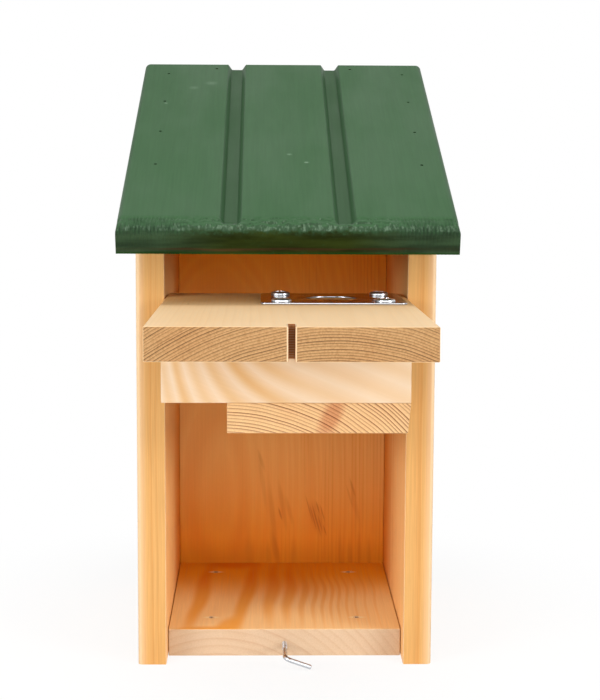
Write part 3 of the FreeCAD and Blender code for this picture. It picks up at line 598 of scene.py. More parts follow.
def painted(name, colours, corner, slope_along, out, thickness, scuffs):
    """Brushed paint over wood: faint grain, torn end grain at the front, rubbed spots."""
    material, tree, shader = new_material(name)
    place, facing = trunk_place(tree, slope_along, corner)
    seat = add(tree, "ShaderNodeTexCoord").outputs
    spot = seat["Object"]
    rise = vectors(tree, "DOT_PRODUCT", vectors(tree, "SUBTRACT", spot, corner), out)
    aside = maths(tree, "ABSOLUTE", vectors(tree, "DOT_PRODUCT", spot, RIGHT))
    coat, cloud, brush, grit = brushed_coat(tree, colours, place, spot, rise, thickness, scuffs)
    coat, nosed = torn_nose(tree, colours, spot, facing, aside, coat)
    # End grain drinks the paint up to a ragged border
    blotch = speckle(tree, spot, BLOTCH_SCALE, 3, 0.7).outputs[0]
    ragged = maths(tree, "MULTIPLY_ADD", maths(tree, "SUBTRACT", blotch, 0.5), 1.1, facing)
    drunk = ranged(tree, ragged, 0.45, 0.95)
    coat = mixed(tree, drunk, coat, end_face(tree, colours, spot, rise, aside))
    # Painted shade on the rounded side edges
    sideways = maths(tree, "ABSOLUTE", vectors(tree, "DOT_PRODUCT", seat["Normal"], RIGHT))
    coat = mixed(tree, ranged(tree, sideways, 0.1, 0.6, 0, 0.8), coat, colours.side_shade, "MULTIPLY")

    relief = maths(tree, "ADD", maths(tree, "MULTIPLY", brush, 0.7), maths(tree, "MULTIPLY", grit, 0.3))
    bump = add(tree, "ShaderNodeBump", named={"Strength": 0.3, "Distance": PAINT_RELIEF, "Height": relief})
    rough = ranged(tree, cloud, 0.3, 0.7, 0.40, 0.52)
    shine = maths(tree, "MULTIPLY_ADD", nosed, 0.05, ranged(tree, drunk, 0, 1, 0.08, 0.03))
    set_shader(tree, shader, Base_Color=coat, Roughness=rough, Specular_IOR_Level=shine,
               Normal=bump.outputs[0])
    return material


# Noises on rolled plate, zinc plating, drawn wire and brads: how far drawn out, and count in a metre
ROLLED = ((0.05, 1, 1), 900)
PLATED = ((1, 1, 1), 1200)
DRAWN = ((0.2, 0.2, 1), 1000)
PLAIN = ((1, 1, 1), 1500)
# Count in a metre of the stains on metal, how far they darken it, and how far its grain stands out
STAIN_SCALE = 180
STAIN_SHADE = 0.78
METAL_RELIEF = 0.05 * MM


def metal(name, tone, smoothest, roughest, grain, bump_strength):
    """Bare or plated steel whose surface is drawn or crystalline after a kind of noise."""
    material, tree, shader = new_material(name)
    seat = add(tree, "ShaderNodeTexCoord").outputs["Object"]
    drawn = drawn_out(tree, seat, grain, 3, 0.7).outputs[0]
    stain = speckle(tree, seat, STAIN_SCALE, 3).outputs[0]
    stained = [part * STAIN_SHADE for part in tone]
    shade = mixed(tree, ranged(tree, stain, 0.35, 0.75, 0, 0.5), tone, stained)
    named = {"Strength": bump_strength, "Distance": METAL_RELIEF, "Height": drawn}
    bump = add(tree, "ShaderNodeBump", named=named)
    rough = ranged(tree, drawn, 0.3, 0.7, smoothest, roughest)
    set_shader(tree, shader, Base_Color=shade, Roughness=rough, Normal=bump.outputs[0])
    shader.inputs["Metallic"].default_value = 1.0
    return material


# Mesh building


def clamped(value):
    """A number kept between 0 and 1."""
    return min(max(value, 0), 1)


def mesh_object(name, vertices, faces, material, sharp=35):
    """A smooth-shaded mesh in the scene, creased where its faces meet at a sharp angle."""
    mesh = bpy.data.meshes.new(name)
    mesh.from_pydata([tuple(point) for point in vertices], [], faces)
    shape = bmesh.new()
    shape.from_mesh(mesh)
    bmesh.ops.remove_doubles(shape, verts=shape.verts, dist=1e-7)
    bmesh.ops.recalc_face_normals(shape, faces=shape.faces)
    shape.to_mesh(mesh)
    shape.free()
    mesh.shade_smooth()
    mesh.set_sharp_from_angle(angle=math.radians(sharp))
    made = bpy.data.objects.new(name, mesh)
    bpy.context.scene.collection.objects.link(made)
    made.data.materials.append(material)
    return made


def carve(piece, vertices, faces, sharp=35):
    """Take closed shapes out of a piece."""
    cutter = mesh_object(piece.name + "_cutter", vertices, faces, piece.data.materials[0])
    modifier = piece.modifiers.new("carve", "BOOLEAN")
    modifier.operation = "DIFFERENCE"
    modifier.solver = "EXACT"
    modifier.object = cutter
    graph = bpy.context.evaluated_depsgraph_get()
    carved = bpy.data.meshes.new_from_object(piece.evaluated_get(graph))
    piece.modifiers.clear()
    if len(carved.polygons) < len(piece.data.polygons) / 2:
        raise RuntimeError(f"carving {piece.name} lost its faces")
    piece.data = carved
    carved.shade_smooth()
    carved.set_sharp_from_angle(angle=math.radians(sharp))
    bpy.data.objects.remove(cutter)


def loft(rings):
    """Faces between rings of the same count of points, with both ends capped."""
    count = len(rings[0])
    vertices = [point for ring in rings for point in ring]
    faces = []
    for level in range(len(rings) - 1):
        for index in range(count):
            first = level * count + index
            second = level * count + (index + 1) % count
            faces.append((first, second, second + count, first + count))
    faces.append(tuple(reversed(range(count))))
    faces.append(tuple(range((len(rings) - 1) * count, len(rings) * count)))
    return vertices, faces


def joined(shapes):
    """Several shapes' vertices and faces as one."""
    vertices = []
    faces = []
    for some_vertices, some_faces in shapes:
        start = len(vertices)
        vertices += some_vertices
        faces += [tuple(index + start for index in face) for face in some_faces]
    return vertices, faces


def moved(shape, matrix):
    """A shape's vertices carried by a matrix."""
    vertices, faces = shape
    return [matrix @ Vector(point) for point in vertices], faces


def circle(radius, height, count):
    """Points of a level ring."""
    turns = [2 * math.pi * index / count for index in range(count)]
    return [Vector((radius * math.cos(turn), radius * math.sin(turn), height)) for turn in turns]


def turned(profile, count=48):
    """A shape turned about Z from radius and height pairs."""
    return loft([circle(radius, height, count) for radius, height in profile])


def frame_at(place, across, out):
    """A matrix whose X is across and whose Z is out, at a place."""
    up = out.cross(across)
    matrix = Matrix((across, up, out)).transposed().to_4x4()
    matrix.translation = place
    return matrix


def solid_middles(node):
    """Points of each separate solid of a node, the solids in order of their middles."""
    shape = bmesh.new()
    shape.from_mesh(frame["nodes"][node].data)
    bmesh.ops.remove_doubles(shape, verts=shape.verts, dist=1e-6)
    shape.verts.ensure_lookup_table()
    seen = set()
    solids = []
    for start in shape.verts:
        if start.index in seen:
            continue
        seen.add(start.index)
        waiting = [start]
        points = []
        while waiting:
            vertex = waiting.pop()
            points.append(vertex.co.copy())
            for edge in vertex.link_edges:
                other = edge.other_vert(vertex)
                if other.index not in seen:
                    seen.add(other.index)
                    waiting.append(other)
        solids.append(points)
    shape.free()
    return solids


def middle(points):
    """Middle of the box round some points."""
    lows = [min(point[axis] for point in points) for axis in range(3)]
    highs = [max(point[axis] for point in points) for axis in range(3)]
    return Vector([(low + high) / 2 for low, high in zip(lows, highs)])


def dress(material, *nodes):
    """Give carried-over solids a material."""
    for name in nodes:
        node = frame["nodes"][name]
        for slot in node.material_slots:
            slot.material = material


def settle(piece, body, slot, *nodes):
    """Let a drawn piece ride on a body and stand for solids; the slot is not used."""
    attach(piece, body)
    if nodes:
        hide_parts(*nodes)


# A screw's head: height of its rim as a share of its rise, fullness of its dome, and steps up the dome
HEAD_RIM = 0.32
DOME_FULLNESS = 0.7
DOME_STEPS = 10
# A screw's recess from its floor to above the head: height as a share of the head's rise, then reach and
# half width of its arms as shares of the head's radius
RECESS = ((0.42, 0.26, 0.07), (0.80, 0.50, 0.115), (1.2, 0.60, 0.135))


def pan_head(radius, rise, shank, bite):
    """A domed screw, its seat at Z 0, with a pointed shank below."""
    profile = [(shank * 0.05, -bite), (shank / 2, -bite + shank), (shank / 2, 0), (radius * 0.97, 0),
               (radius, rise * 0.06)]
    for step in range(DOME_STEPS):
        turn = math.pi / 2 * step / DOME_STEPS
        height = HEAD_RIM + (1 - HEAD_RIM) * math.sin(turn)
        profile.append((radius * math.cos(turn) ** DOME_FULLNESS, rise * height))
    profile.append((radius * 0.02, rise))
    return turned(profile)


def cross_recess(radius, rise):
    """The tapering cross that a driver fits, to be taken out of a screw's head."""
    rings = []
    for height, reach, half in RECESS:
        far = reach * radius
        near = half * radius
        corners = ((near, near), (near, far), (-near, far), (-near, near), (-far, near), (-far, -near),
                   (-near, -near), (-near, -far), (near, -far), (near, -near), (far, -near), (far, near))
        rings.append([Vector((x, y, rise * height)) for x, y in corners])
    return loft(rings)


# Screws' crease angle in degrees, and how far their recesses are turned
SCREW_CREASE = 40
RECESS_TURN = math.radians(27)


def screws(name, places, radius, rise, shank, bite, material):
    """Screws at some places, each place a matrix, with their recesses carved."""
    bodies = [moved(pan_head(radius, rise, shank, bite), place) for place in places]
    piece = mesh_object(name, *joined(bodies), material, sharp=SCREW_CREASE)
    turn = Matrix.Rotation(RECESS_TURN, 4, "Z")
    recesses = [moved(cross_recess(radius, rise), place @ Matrix.Rotation(index, 4, "Z") @ turn)
                for index, place in enumerate(places)]
    carve(piece, *joined(recesses), sharp=SCREW_CREASE)
    return piece


class NESTBOX_OT_growth(bpy.types.Operator):
    """Make the pattern of growth rings that all the boards share"""

    bl_idname = "nest_box.growth"
    bl_label = "Growth rings"

    def execute(self, context):
        group_of_growth()
        return {"FINISHED"}


class NESTBOX_OT_walls(bpy.types.Operator):
    """Give both side walls upright pine grain, and the strip over the door level grain"""

    bl_idname = "nest_box.walls"
    bl_label = "Side walls"

    # Each wall's inward direction, its trunk's pith and its rings' contrast
    WALLS = {"left_side": (RIGHT, Vector((-0.150, 0.030, 0)), 0.45),
             "right_side": (-RIGHT, Vector((0.030, 0.010, 0)), 0.75)}
    RING = 2.6 * MM
    WANDER = 5 * MM
    # The strip's rings, and how far below it their pith lies
    STRIP_RING = 2.4 * MM
    STRIP_PITH = 60 * MM
    # How far back the painted shade on the inner faces is deepest
    INNER_SHADE_BACK = 90 * MM
    # Distances from the outer faces between which the front edges turn paler, as sanded wood with a painted
    # highlight
    EASED_HIGHLIGHT = (7 * MM, 2 * MM)

    def execute(self, context):
        colours = context.scene.nest_box.colours
        # Paler sanded wood with a painted highlight on the rounded edges
        sanded_and_lit = sanded_and_lit_edges(colours.wall_edge)
        # Painted shade on the edges that face the front
        sawn = front_shade_edges(colours.wall_front_shade)
        # Painted shade that deepens the inner faces towards the back
        painted_shade = deepened(BACK, 0.0, self.INNER_SHADE_BACK, colours.painted_shade, strength=0.8)
        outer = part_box("right_side")[1].x
        span = [outer - distance for distance in self.EASED_HIGHLIGHT]
        for side, (inward, pith, contrast) in self.WALLS.items():
            # Paler sanded wood with a painted highlight near the outer faces
            eased = deepened(-inward, *span, colours.wall_edge, "MIX", 0.6)
            touches = [only_facing(inward, painted_shade), sawn, only_facing(-BACK, eased), sanded_and_lit]
            wood = pine(f"{side}_pine", UP, pith, self.RING, colours.wall_pale, colours.wall_ring,
                        wander=self.WANDER, contrast=contrast, touches=touches)
            dress(wood, side)
        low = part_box("front_header")[0]
        pith = Vector((0, low.y, low.z - self.STRIP_PITH))
        strip = pine("header_pine", RIGHT, pith, self.STRIP_RING, colours.wall_pale, colours.wall_ring,
                     wander=self.WANDER, contrast=0.5)
        dress(strip, "front_header")
        return {"FINISHED"}


class NESTBOX_OT_back(bpy.types.Operator):
    """Give the back panel soft upright grain with a few slanting resin streaks"""

    bl_idname = "nest_box.back"
    bl_label = "Back panel"

    # Streaks on the inner face: middle across and up, height and half width in millimetres, and strength
    STREAKS = ((21, 59, 26, 0.8, 0.35), (24, 53, 25, 0.7, 0.4), (26.5, 51, 29, 0.8, 0.5),
               (27.5, 60, 12, 0.8, 0.45), (31, 56, 17, 0.7, 0.4), (33, 43, 10, 0.7, 0.4),
               (29.5, 48, 15, 0.6, 0.4), (27, 52, 34, 6.5, 0.2), (-0.5, 55, 12, 1.0, 0.5),
               (-6, 52, 76, 3.0, 0.22), (-4, 28, 40, 3.5, 0.25), (1, 62, 50, 2.6, 0.2),
               (6, 58, 30, 2.4, 0.16), (53, 75, 20, 1.2, 0.3), (51, 68, 24, 1.1, 0.2),
               (55, 62, 40, 2.4, 0.15), (-15, 96, 20, 1.8, 0.2), (-14, 80, 60, 2.4, 0.14),
               (-24, 24, 44, 4.5, 0.14), (-9, 20, 40, 3.0, 0.16), (10, 22, 40, 3.5, 0.14),
               (44, 24, 44, 2.4, 0.16), (51, 22, 40, 2.4, 0.16), (58, 24, 46, 2.6, 0.16),
               (65, 22, 40, 2.4, 0.16))
    SWAY = 3 * MM
    # Lean to the left of streaks up to a height in millimetres; taller ones lean less
    LEAN = 0.3
    FULL_LEAN = 30
    # Streaks whose middle is lower than this stand upright
    UPRIGHT_BELOW = 25
    # The pith from the foot of the inner face's middle
    PITH = Vector((-0.050, 0.075, 0.075))
    RING = 4.2 * MM
    WANDER = 8 * MM
    # Fine lines: their spacing, and the places across between which they grow
    LINE_PITCH = 2.7 * MM
    LINES_GROW = (-30 * MM, 30 * MM)
    # Heights between which painted shade deepens the wood downwards and upwards, and shades its foot
    PAINTED_SHADE_DOWN = (120 * MM, 15 * MM)
    PAINTED_SHADE_UP = (170 * MM, 250 * MM)
    SHADE_DOWN = (40 * MM, 18 * MM)

    def execute(self, context):
        colours = context.scene.nest_box.colours
        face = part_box("back_panel")[0].y
        marks = []
        for across, up, rise, half, strength in self.STREAKS:
            lean = self.LEAN * min(1, self.FULL_LEAN / rise) if up > self.UPRIGHT_BELOW else 0
            run = Vector((-rise * lean, 0, rise)) * MM
            marks.append((Vector((across * MM, face, up * MM)), run, half * MM, strength))
        # Painted shade deepens the inner face towards its foot and its top
        touches = [spindles(marks, colours.resin, sway=self.SWAY),
                   fine_lines(self.LINE_PITCH, *self.LINES_GROW, colours.grain_line, 0.35),
                   lowered(*self.PAINTED_SHADE_DOWN, colours.painted_shade),
                   deepened(UP, *self.PAINTED_SHADE_UP, colours.painted_shade),
                   lowered(*self.SHADE_DOWN, colours.corner_shade)]
        pith = BACK * face + self.PITH
        wood = pine("back_pine", UP, pith, self.RING, colours.back_pale, colours.back_ring, taper=0.33,
                    wander=self.WANDER, softness=0.7, contrast=0.4, fibres=0.3,
                    touches=[only_facing(-BACK, *touches)])
        dress(wood, "back_panel")
        return {"FINISHED"}


class NESTBOX_OT_floor(bpy.types.Operator):
    """Give the floor broad arched grain, and torn fibres round its drain holes"""

    bl_idname = "nest_box.floor"
    bl_label = "Floor"

    # Bands of late wood on the upper face: middle across and back, run across and back and half width in
    # millimetres, and strength
    BANDS = ((-58, -5, 18, 250, 8, 0.85), (-52, -88, 60, 8, 13, 0.9), (-26, -5, 20, 240, 7.5, 0.85),
             (-38, -78, 14, 60, 10, 0.8), (-36, 86, 60, 0, 26, 0.8), (-8, 5, 9, 230, 7, 0.65),
             (4.5, 5, 8, 220, 6, 0.65), (14.5, -5, 7, 190, 3.6, 0.5), (22, -5, 5, 200, 2.4, 0.45),
             (28, -5, 4, 210, 2, 0.45), (33.5, -5, 3, 220, 1.8, 0.45), (38.5, -5, 2, 220, 1.6, 0.4),
             (44, -5, 1, 220, 1.6, 0.4), (50, -5, 0, 220, 1.5, 0.35), (57, -5, -1, 220, 1.5, 0.3),
             (64, -5, -2, 220, 1.5, 0.3))
    SWAY = 8 * MM
    # The pith, to the left and below the upper face
    PITH_ASIDE = -43 * MM
    PITH_BELOW = 94.2 * MM
    RING = 5.1 * MM
    WANDER = 2 * MM
    # Places from front to back between which painted shade deepens the upper face
    PAINTED_SHADE_BACK = (-30 * MM, 60 * MM)
    # Torn wood round a drain hole: run and half width as shares of the hole's diameter
    TORN_RUN = 3.5
    TORN_HALF = 0.8
    # Torn fibres at each hole, and the seed of their random draws
    FIBRES = 6
    SEED = 7
    # A fibre from its root to its loose end: shares of its run, its width and its lift
    TAPER = ((0, 1.0, 0.0), (0.5, 0.8, 0.35), (1, 0.25, 1.0))
    # A fibre's lower edge and its narrower upper edge, from its middle line
    LOWER = -0.2 * MM
    UPPER = 0.12 * MM

    def execute(self, context):
        colours = context.scene.nest_box.colours
        sizes = context.scene.nest_box.sizes
        low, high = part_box("floor_board")
        bands = []
        for across, back, aside, run, half, strength in self.BANDS:
            middle_of_band = Vector((across * MM, back * MM, high.z))
            bands.append((middle_of_band, Vector((aside, run, 0)) * MM, half * MM, strength))
        holes = []
        for x in (low.x + sizes.drain_inset, high.x - sizes.drain_inset):
            for y in (low.y + sizes.drain_inset, high.y - sizes.drain_inset):
                holes.append(Vector((x, y, high.z)))
        run = RIGHT * self.TORN_RUN * sizes.drain_hole
        torn = [(hole, run, self.TORN_HALF * sizes.drain_hole, 0.85) for hole in holes]
        # Painted shade deepens the upper face towards the back
        touches = [spindles(bands, colours.floor_ring, normal=UP, sway=self.SWAY),
                   deepened(BACK, *self.PAINTED_SHADE_BACK, colours.painted_shade),
                   spindles(torn, colours.floor_torn, normal=UP)]
        pith = Vector((self.PITH_ASIDE, 0, high.z - self.PITH_BELOW))
        wood = pine("floor_pine", BACK, pith, self.RING, colours.floor_pale, colours.floor_ring,
                    end_pale=colours.floor_end, end_ring=colours.floor_end_ring, taper=0.22,
                    wander=self.WANDER, unevenness=0.6, contrast=0.12, end_contrast=0.3, pores=0.12,
                    fibres=0.6, touches=[only_facing(UP, *touches)])
        dress(wood, "floor_board")
        draw = random.Random(self.SEED)
        slivers = []
        for hole in holes:
            for index in range(self.FIBRES):
                slivers.append(self.sliver(draw, hole, sizes.drain_hole / 2))
        piece = mesh_object("drain_hole_fibres", *joined(slivers), wood)
        settle(piece, "box", "pine")
        return {"FINISHED"}

    def sliver(self, draw, hole, radius):
        """One torn fibre, rooted in the wood beside a hole and lifted at its loose end."""
        turn = draw.uniform(-1.2, 1.2) + draw.choice((0, math.pi))
        root = hole + Vector((math.cos(turn), math.sin(turn), 0)) * radius * draw.uniform(1.0, 1.25)
        run = draw.uniform(2.0, 4.5) * MM * draw.choice((-1, 1))
        half = draw.uniform(0.15, 0.35) * MM
        lift = draw.uniform(0.3, 0.9) * MM
        rings = []
        for step, wide, rise in self.TAPER:
            centre = root + Vector((0, run * step, lift * rise))
            reach = half * wide
            corners = ((-reach, self.LOWER), (reach, self.LOWER),
                       (reach / 2, self.UPPER), (-reach / 2, self.UPPER))
            rings.append([centre + Vector((x, 0, z)) for x, z in corners])
        return loft(rings)


class NESTBOX_OT_roof(bpy.types.Operator):
    """Draw the painted roof with its grooves, torn front edge and brad holes"""

    bl_idname = "nest_box.roof"
    bl_label = "Roof"

    # Rubbed spots on the top: place across and up the slope and reach in millimetres, and strength
    SCUFFS = ((2, 118, 2.5, 0.5), (12.7, 104, 2.2, 0.8), (-51, 258, 6, 0.25), (-63, 248, 5, 0.2),
              (-81, 215, 2, 0.5))
    # Angle in degrees from which an edge is creased
    CREASE = 50
    # Brad holes: sides of their round, narrowing to their bottom, and depth of a brad's head
    HOLE_SIDES = 20
    HOLE_TAPER = 0.9
    HEAD_DEPTH = 0.1 * MM
    # Mesh: columns' spacing across the board, and steps on each part round it
    COLUMN = 0.5 * MM
    SIDE_STEPS = 8
    UNDER_STEPS = 15
    FACE_STEPS = 10
    NOSE_STEPS = 22
    CLOSE_STEPS = 12
    TOP_STEPS = 24
    BACK_STEPS = 5
    # Where up the slope the close steps behind the nose give way to wide ones
    WIDE_FROM = 30 * MM
    # Tearing at the face's foot and at the nose's lower edge, and its reach behind the nose
    FOOT_TEARING = 0.15
    NOSE_TEARING = 0.6
    TEARING_REACH = 5 * MM
    # Grooves start at this share of the nose and are deep after so much more; their lips are part eased
    GROOVES_FROM = 0.35
    GROOVES_GROW = 0.8
    LIP = 0.4
    # Upright furrows start at this share of the way to a side and are full after so much more
    FURROWS_FROM = 0.5
    FURROWS_GROW = 0.25
    # Noises in the torn grain: counts in a metre across and up, and a seed
    WOBBLE = (90, 160, 3.1)
    CRINKLE = (330, 420, 1.7)
    BROAD = (120, 200, 8.3)

    def execute(self, context):
        colours = context.scene.nest_box.colours
        self.sizes = context.scene.nest_box.sizes
        slope = self.sizes.roof_slope
        thickness = self.sizes.roof_thickness
        low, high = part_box("roof")
        along = Vector((0, math.cos(slope), math.sin(slope)))
        out = Vector((0, -math.sin(slope), math.cos(slope)))
        corner = Vector((0, high.y - self.sizes.roof_length * along.y, low.z))
        place = frame_at(corner, RIGHT, out)
        scuffs = []
        for across, up_slope, reach, strength in self.SCUFFS:
            spot = place @ Vector((across * MM, up_slope * MM, thickness))
            scuffs.append((spot, reach * MM, strength))
        paint = painted("roof_paint", colours, corner, along, out, thickness, scuffs)
        piece = mesh_object("roof_board", *moved(self.board(), place), paint, sharp=self.CREASE)
        depth = thickness - self.sizes.nail_hole_depth
        radius = self.sizes.nail_hole / 2
        profile = [(radius * self.HOLE_TAPER, depth), (radius, thickness + MM)]
        holes = []
        for row in ("roof_nails_left", "roof_nails_right", "roof_nails_back"):
            for points in solid_middles(row):
                top = max(points, key=lambda point: point.dot(out))
                head = [point for point in points if (top - point).dot(out) < self.HEAD_DEPTH]
                centre = place.inverted() @ middle(head)
                hole = turned(profile, self.HOLE_SIDES)
                holes.append(moved(hole, place @ Matrix.Translation((centre.x, centre.y, 0))))
        carve(piece, *joined(holes), sharp=self.CREASE)
        settle(piece, "box", "green_paint", "roof")
        return {"FINISHED"}

    def columns(self):
        """Places across the roof, closer together on the rounded sides."""
        sizes = self.sizes
        flat = sizes.roof_width / 2 - sizes.roof_side_round
        count = round(2 * flat / self.COLUMN)
        inner = [-flat + 2 * flat * index / count for index in range(count + 1)]
        turns = [math.pi / 2 * step / self.SIDE_STEPS for step in range(1, self.SIDE_STEPS + 1)]
        edge = [flat + sizes.roof_side_round * math.sin(turn) for turn in turns]
        return [-x for x in reversed(edge)] + inner + edge

    def ceiling(self, x, along):
        """The roof's height at a place: rounded sides, and grooves that run out on the nose."""
        sizes = self.sizes
        top = sizes.roof_thickness
        past = abs(x) - (sizes.roof_width / 2 - sizes.roof_side_round)
        if past > 0:
            rounding = sizes.roof_side_round
            return top - rounding + math.sqrt(max(rounding ** 2 - past ** 2, 0))
        off = abs(abs(x) - sizes.groove_pitch / 2)
        wall = (sizes.groove_mouth - sizes.groove_bed) / 2
        share_up = clamped((off - sizes.groove_bed / 2) / wall)
        eased = share_up * share_up * (3 - 2 * share_up)
        run_out = clamped((along / sizes.roof_nose - self.GROOVES_FROM) / self.GROOVES_GROW)
        return top - sizes.groove_depth * run_out * (1 - ((1 - self.LIP) * share_up + self.LIP * eased))

    def section(self):
        """Points round the board from its lower back edge: place, height, outward way, tearing."""
        sizes = self.sizes
        length_up = sizes.roof_length
        top = sizes.roof_thickness
        nose = sizes.roof_nose
        drop = sizes.roof_nose_drop
        shoulder = top - drop
        points = []
        for step in range(self.UNDER_STEPS):
            points.append((length_up * (1 - step / self.UNDER_STEPS), 0, (0, -1), 0))
        for step in range(self.FACE_STEPS):
            up = step / self.FACE_STEPS
            tearing = self.FOOT_TEARING + (self.NOSE_TEARING - self.FOOT_TEARING) * up ** 3
            points.append((0, shoulder * up, (-1, 0), tearing))
        for step in range(self.NOSE_STEPS):
            turn = math.pi / 2 * step / self.NOSE_STEPS
            way = Vector((-math.cos(turn) / nose, math.sin(turn) / drop)).normalized()
            tearing = self.NOSE_TEARING + (1 - self.NOSE_TEARING) * step / self.NOSE_STEPS
            points.append((nose * (1 - math.cos(turn)), shoulder + drop * math.sin(turn), way, tearing))
        stations = [nose + step * MM for step in range(self.CLOSE_STEPS)]
        for step in range(self.TOP_STEPS + 1):
            stations.append(self.WIDE_FROM + (length_up - self.WIDE_FROM) * step / self.TOP_STEPS)
        for station in stations:
            fade = max(0, 1 - (station - nose) / self.TEARING_REACH)
            points.append((station, top, (0, 1), fade * fade))
        for step in range(1, self.BACK_STEPS):
            points.append((length_up, top * (1 - step / self.BACK_STEPS), (1, 0), 0))
        return points

    def board(self):
        """The board in its own frame: X across, Y up the slope, Z out."""
        sizes = self.sizes
        section = self.section()
        rings = []
        for x in self.columns():
            ring = []
            for along, height, way, tearing in section:
                ceiling = self.ceiling(x, along)
                if along < sizes.roof_length:
                    height = min(height, ceiling)
                else:
                    height = height * ceiling / sizes.roof_thickness
                depth = sizes.furrow_depth * tearing * self.furrow(x, along - height)
                ring.append(Vector((x, along - way[0] * depth, height - way[1] * depth)))
            rings.append(ring)
        return loft(rings)

    @staticmethod
    def rough(x, run, kind):
        """Noise of a kind at a place on the front edge."""
        across, up, seed = kind
        return noise.noise(Vector((x * across, run * up, seed)))

    def furrow(self, x, run):
        """Torn end grain: upright furrows near both ends, broken crinkles between them."""
        share_out = abs(x) / (self.sizes.roof_width / 2)
        towards_end = clamped((share_out - self.FURROWS_FROM) / self.FURROWS_GROW)
        wobble = self.rough(x, run, self.WOBBLE)
        upright = 0.5 + 0.5 * math.sin(2 * math.pi * x / RIB_PITCH + 2.5 * wobble)
        crinkle = 0.5 + 1.1 * self.rough(x, run, self.CRINKLE)
        broad = 0.4 * self.rough(x, run, self.BROAD)
        return clamped(towards_end * upright + (1 - 0.6 * towards_end) * crinkle * 0.9 + broad)


class NESTBOX_OT_door(bpy.types.Operator):
    """Give the door close grain whose rings show on its foot"""

    bl_idname = "nest_box.door"
    bl_label = "Door"

    # The pith, to the right of the pivot line's middle and inward from it
    PITH_ASIDE = 22 * MM
    PITH_INWARD = 138 * MM
    RING = 1.5 * MM
    WANDER = 5 * MM
    # Places from front to back between which painted warm shade deepens the open door's wood
    WARM_SHADE = (-210 * MM, -120 * MM)
    # Distances from the slot's sides between which its torn fringe and its inside, dark with painted shade,
    # fade
    FRINGE = (1.1 * MM, 0.5 * MM)
    INSIDE = (0.2 * MM, 0.1 * MM)
    # How far above the slot they start, and the spacing and strength of the saw's marks
    START = 0.4 * MM
    SAW_PITCH = 1.3 * MM
    SAW_MARKS = 0.3

    def execute(self, context):
        colours = context.scene.nest_box.colours
        sizes = context.scene.nest_box.sizes
        pith = DOOR_PIVOT + RIGHT * self.PITH_ASIDE - DOOR_OUT * self.PITH_INWARD
        points = [vertex.co for vertex in frame["nodes"]["door"].data.vertices]
        foot = max((DOOR_PIVOT - point).dot(DOOR_UP) for point in points)
        slot = self.sawn_slot(sizes.slot_width / 2, foot - sizes.slot_depth, colours)
        # Painted warm shade on the door's far end, and painted shade in its slot
        wood = pine("door_pine", DOOR_UP, pith, self.RING, colours.door_pale, colours.door_ring,
                    end_pale=colours.door_end, end_ring=colours.door_end_ring, wander=self.WANDER,
                    unevenness=0.9, contrast=0.35, fibres=0.4,
                    touches=[deepened(BACK, *self.WARM_SHADE, colours.door_warm_shade), slot])
        dress(wood, "door")
        return {"FINISHED"}

    def sawn_slot(self, half, start, colours):
        """A touch of darker sawn wood with painted shade and saw marks inside the slot, and of pale torn
        fibres beside it.
        """
        fringe_span = [half + distance for distance in self.FRINGE]
        inside_span = [half + distance for distance in self.INSIDE]
        above = self.START
        per_mark = DOOR_OUT * (2 * math.pi / self.SAW_PITCH)
        marks_strength = self.SAW_MARKS

        def touch(tree, seat, wood):
            off = vectors(tree, "SUBTRACT", seat["Object"], DOOR_PIVOT)
            aside = maths(tree, "ABSOLUTE", vectors(tree, "DOT_PRODUCT", off, RIGHT))
            below = vectors(tree, "DOT_PRODUCT", off, -DOOR_UP)
            past_start = ranged(tree, below, start - above, start)
            beside = maths(tree, "MULTIPLY", ranged(tree, aside, *fringe_span), past_start)
            wood = mixed(tree, beside, wood, colours.saw_fringe)
            wave = maths(tree, "SINE", vectors(tree, "DOT_PRODUCT", off, per_mark))
            marks = maths(tree, "MULTIPLY_ADD", wave, 0.5, 0.5)
            marks = maths(tree, "MULTIPLY", marks, marks_strength)
            # The slot's inside: darker sawn wood with painted shade
            sawn = mixed(tree, marks, colours.saw_cut_shade, colours.saw_fringe)
            inside = maths(tree, "MULTIPLY", ranged(tree, aside, *inside_span), past_start)
            return mixed(tree, inside, wood, sawn)

        return touch


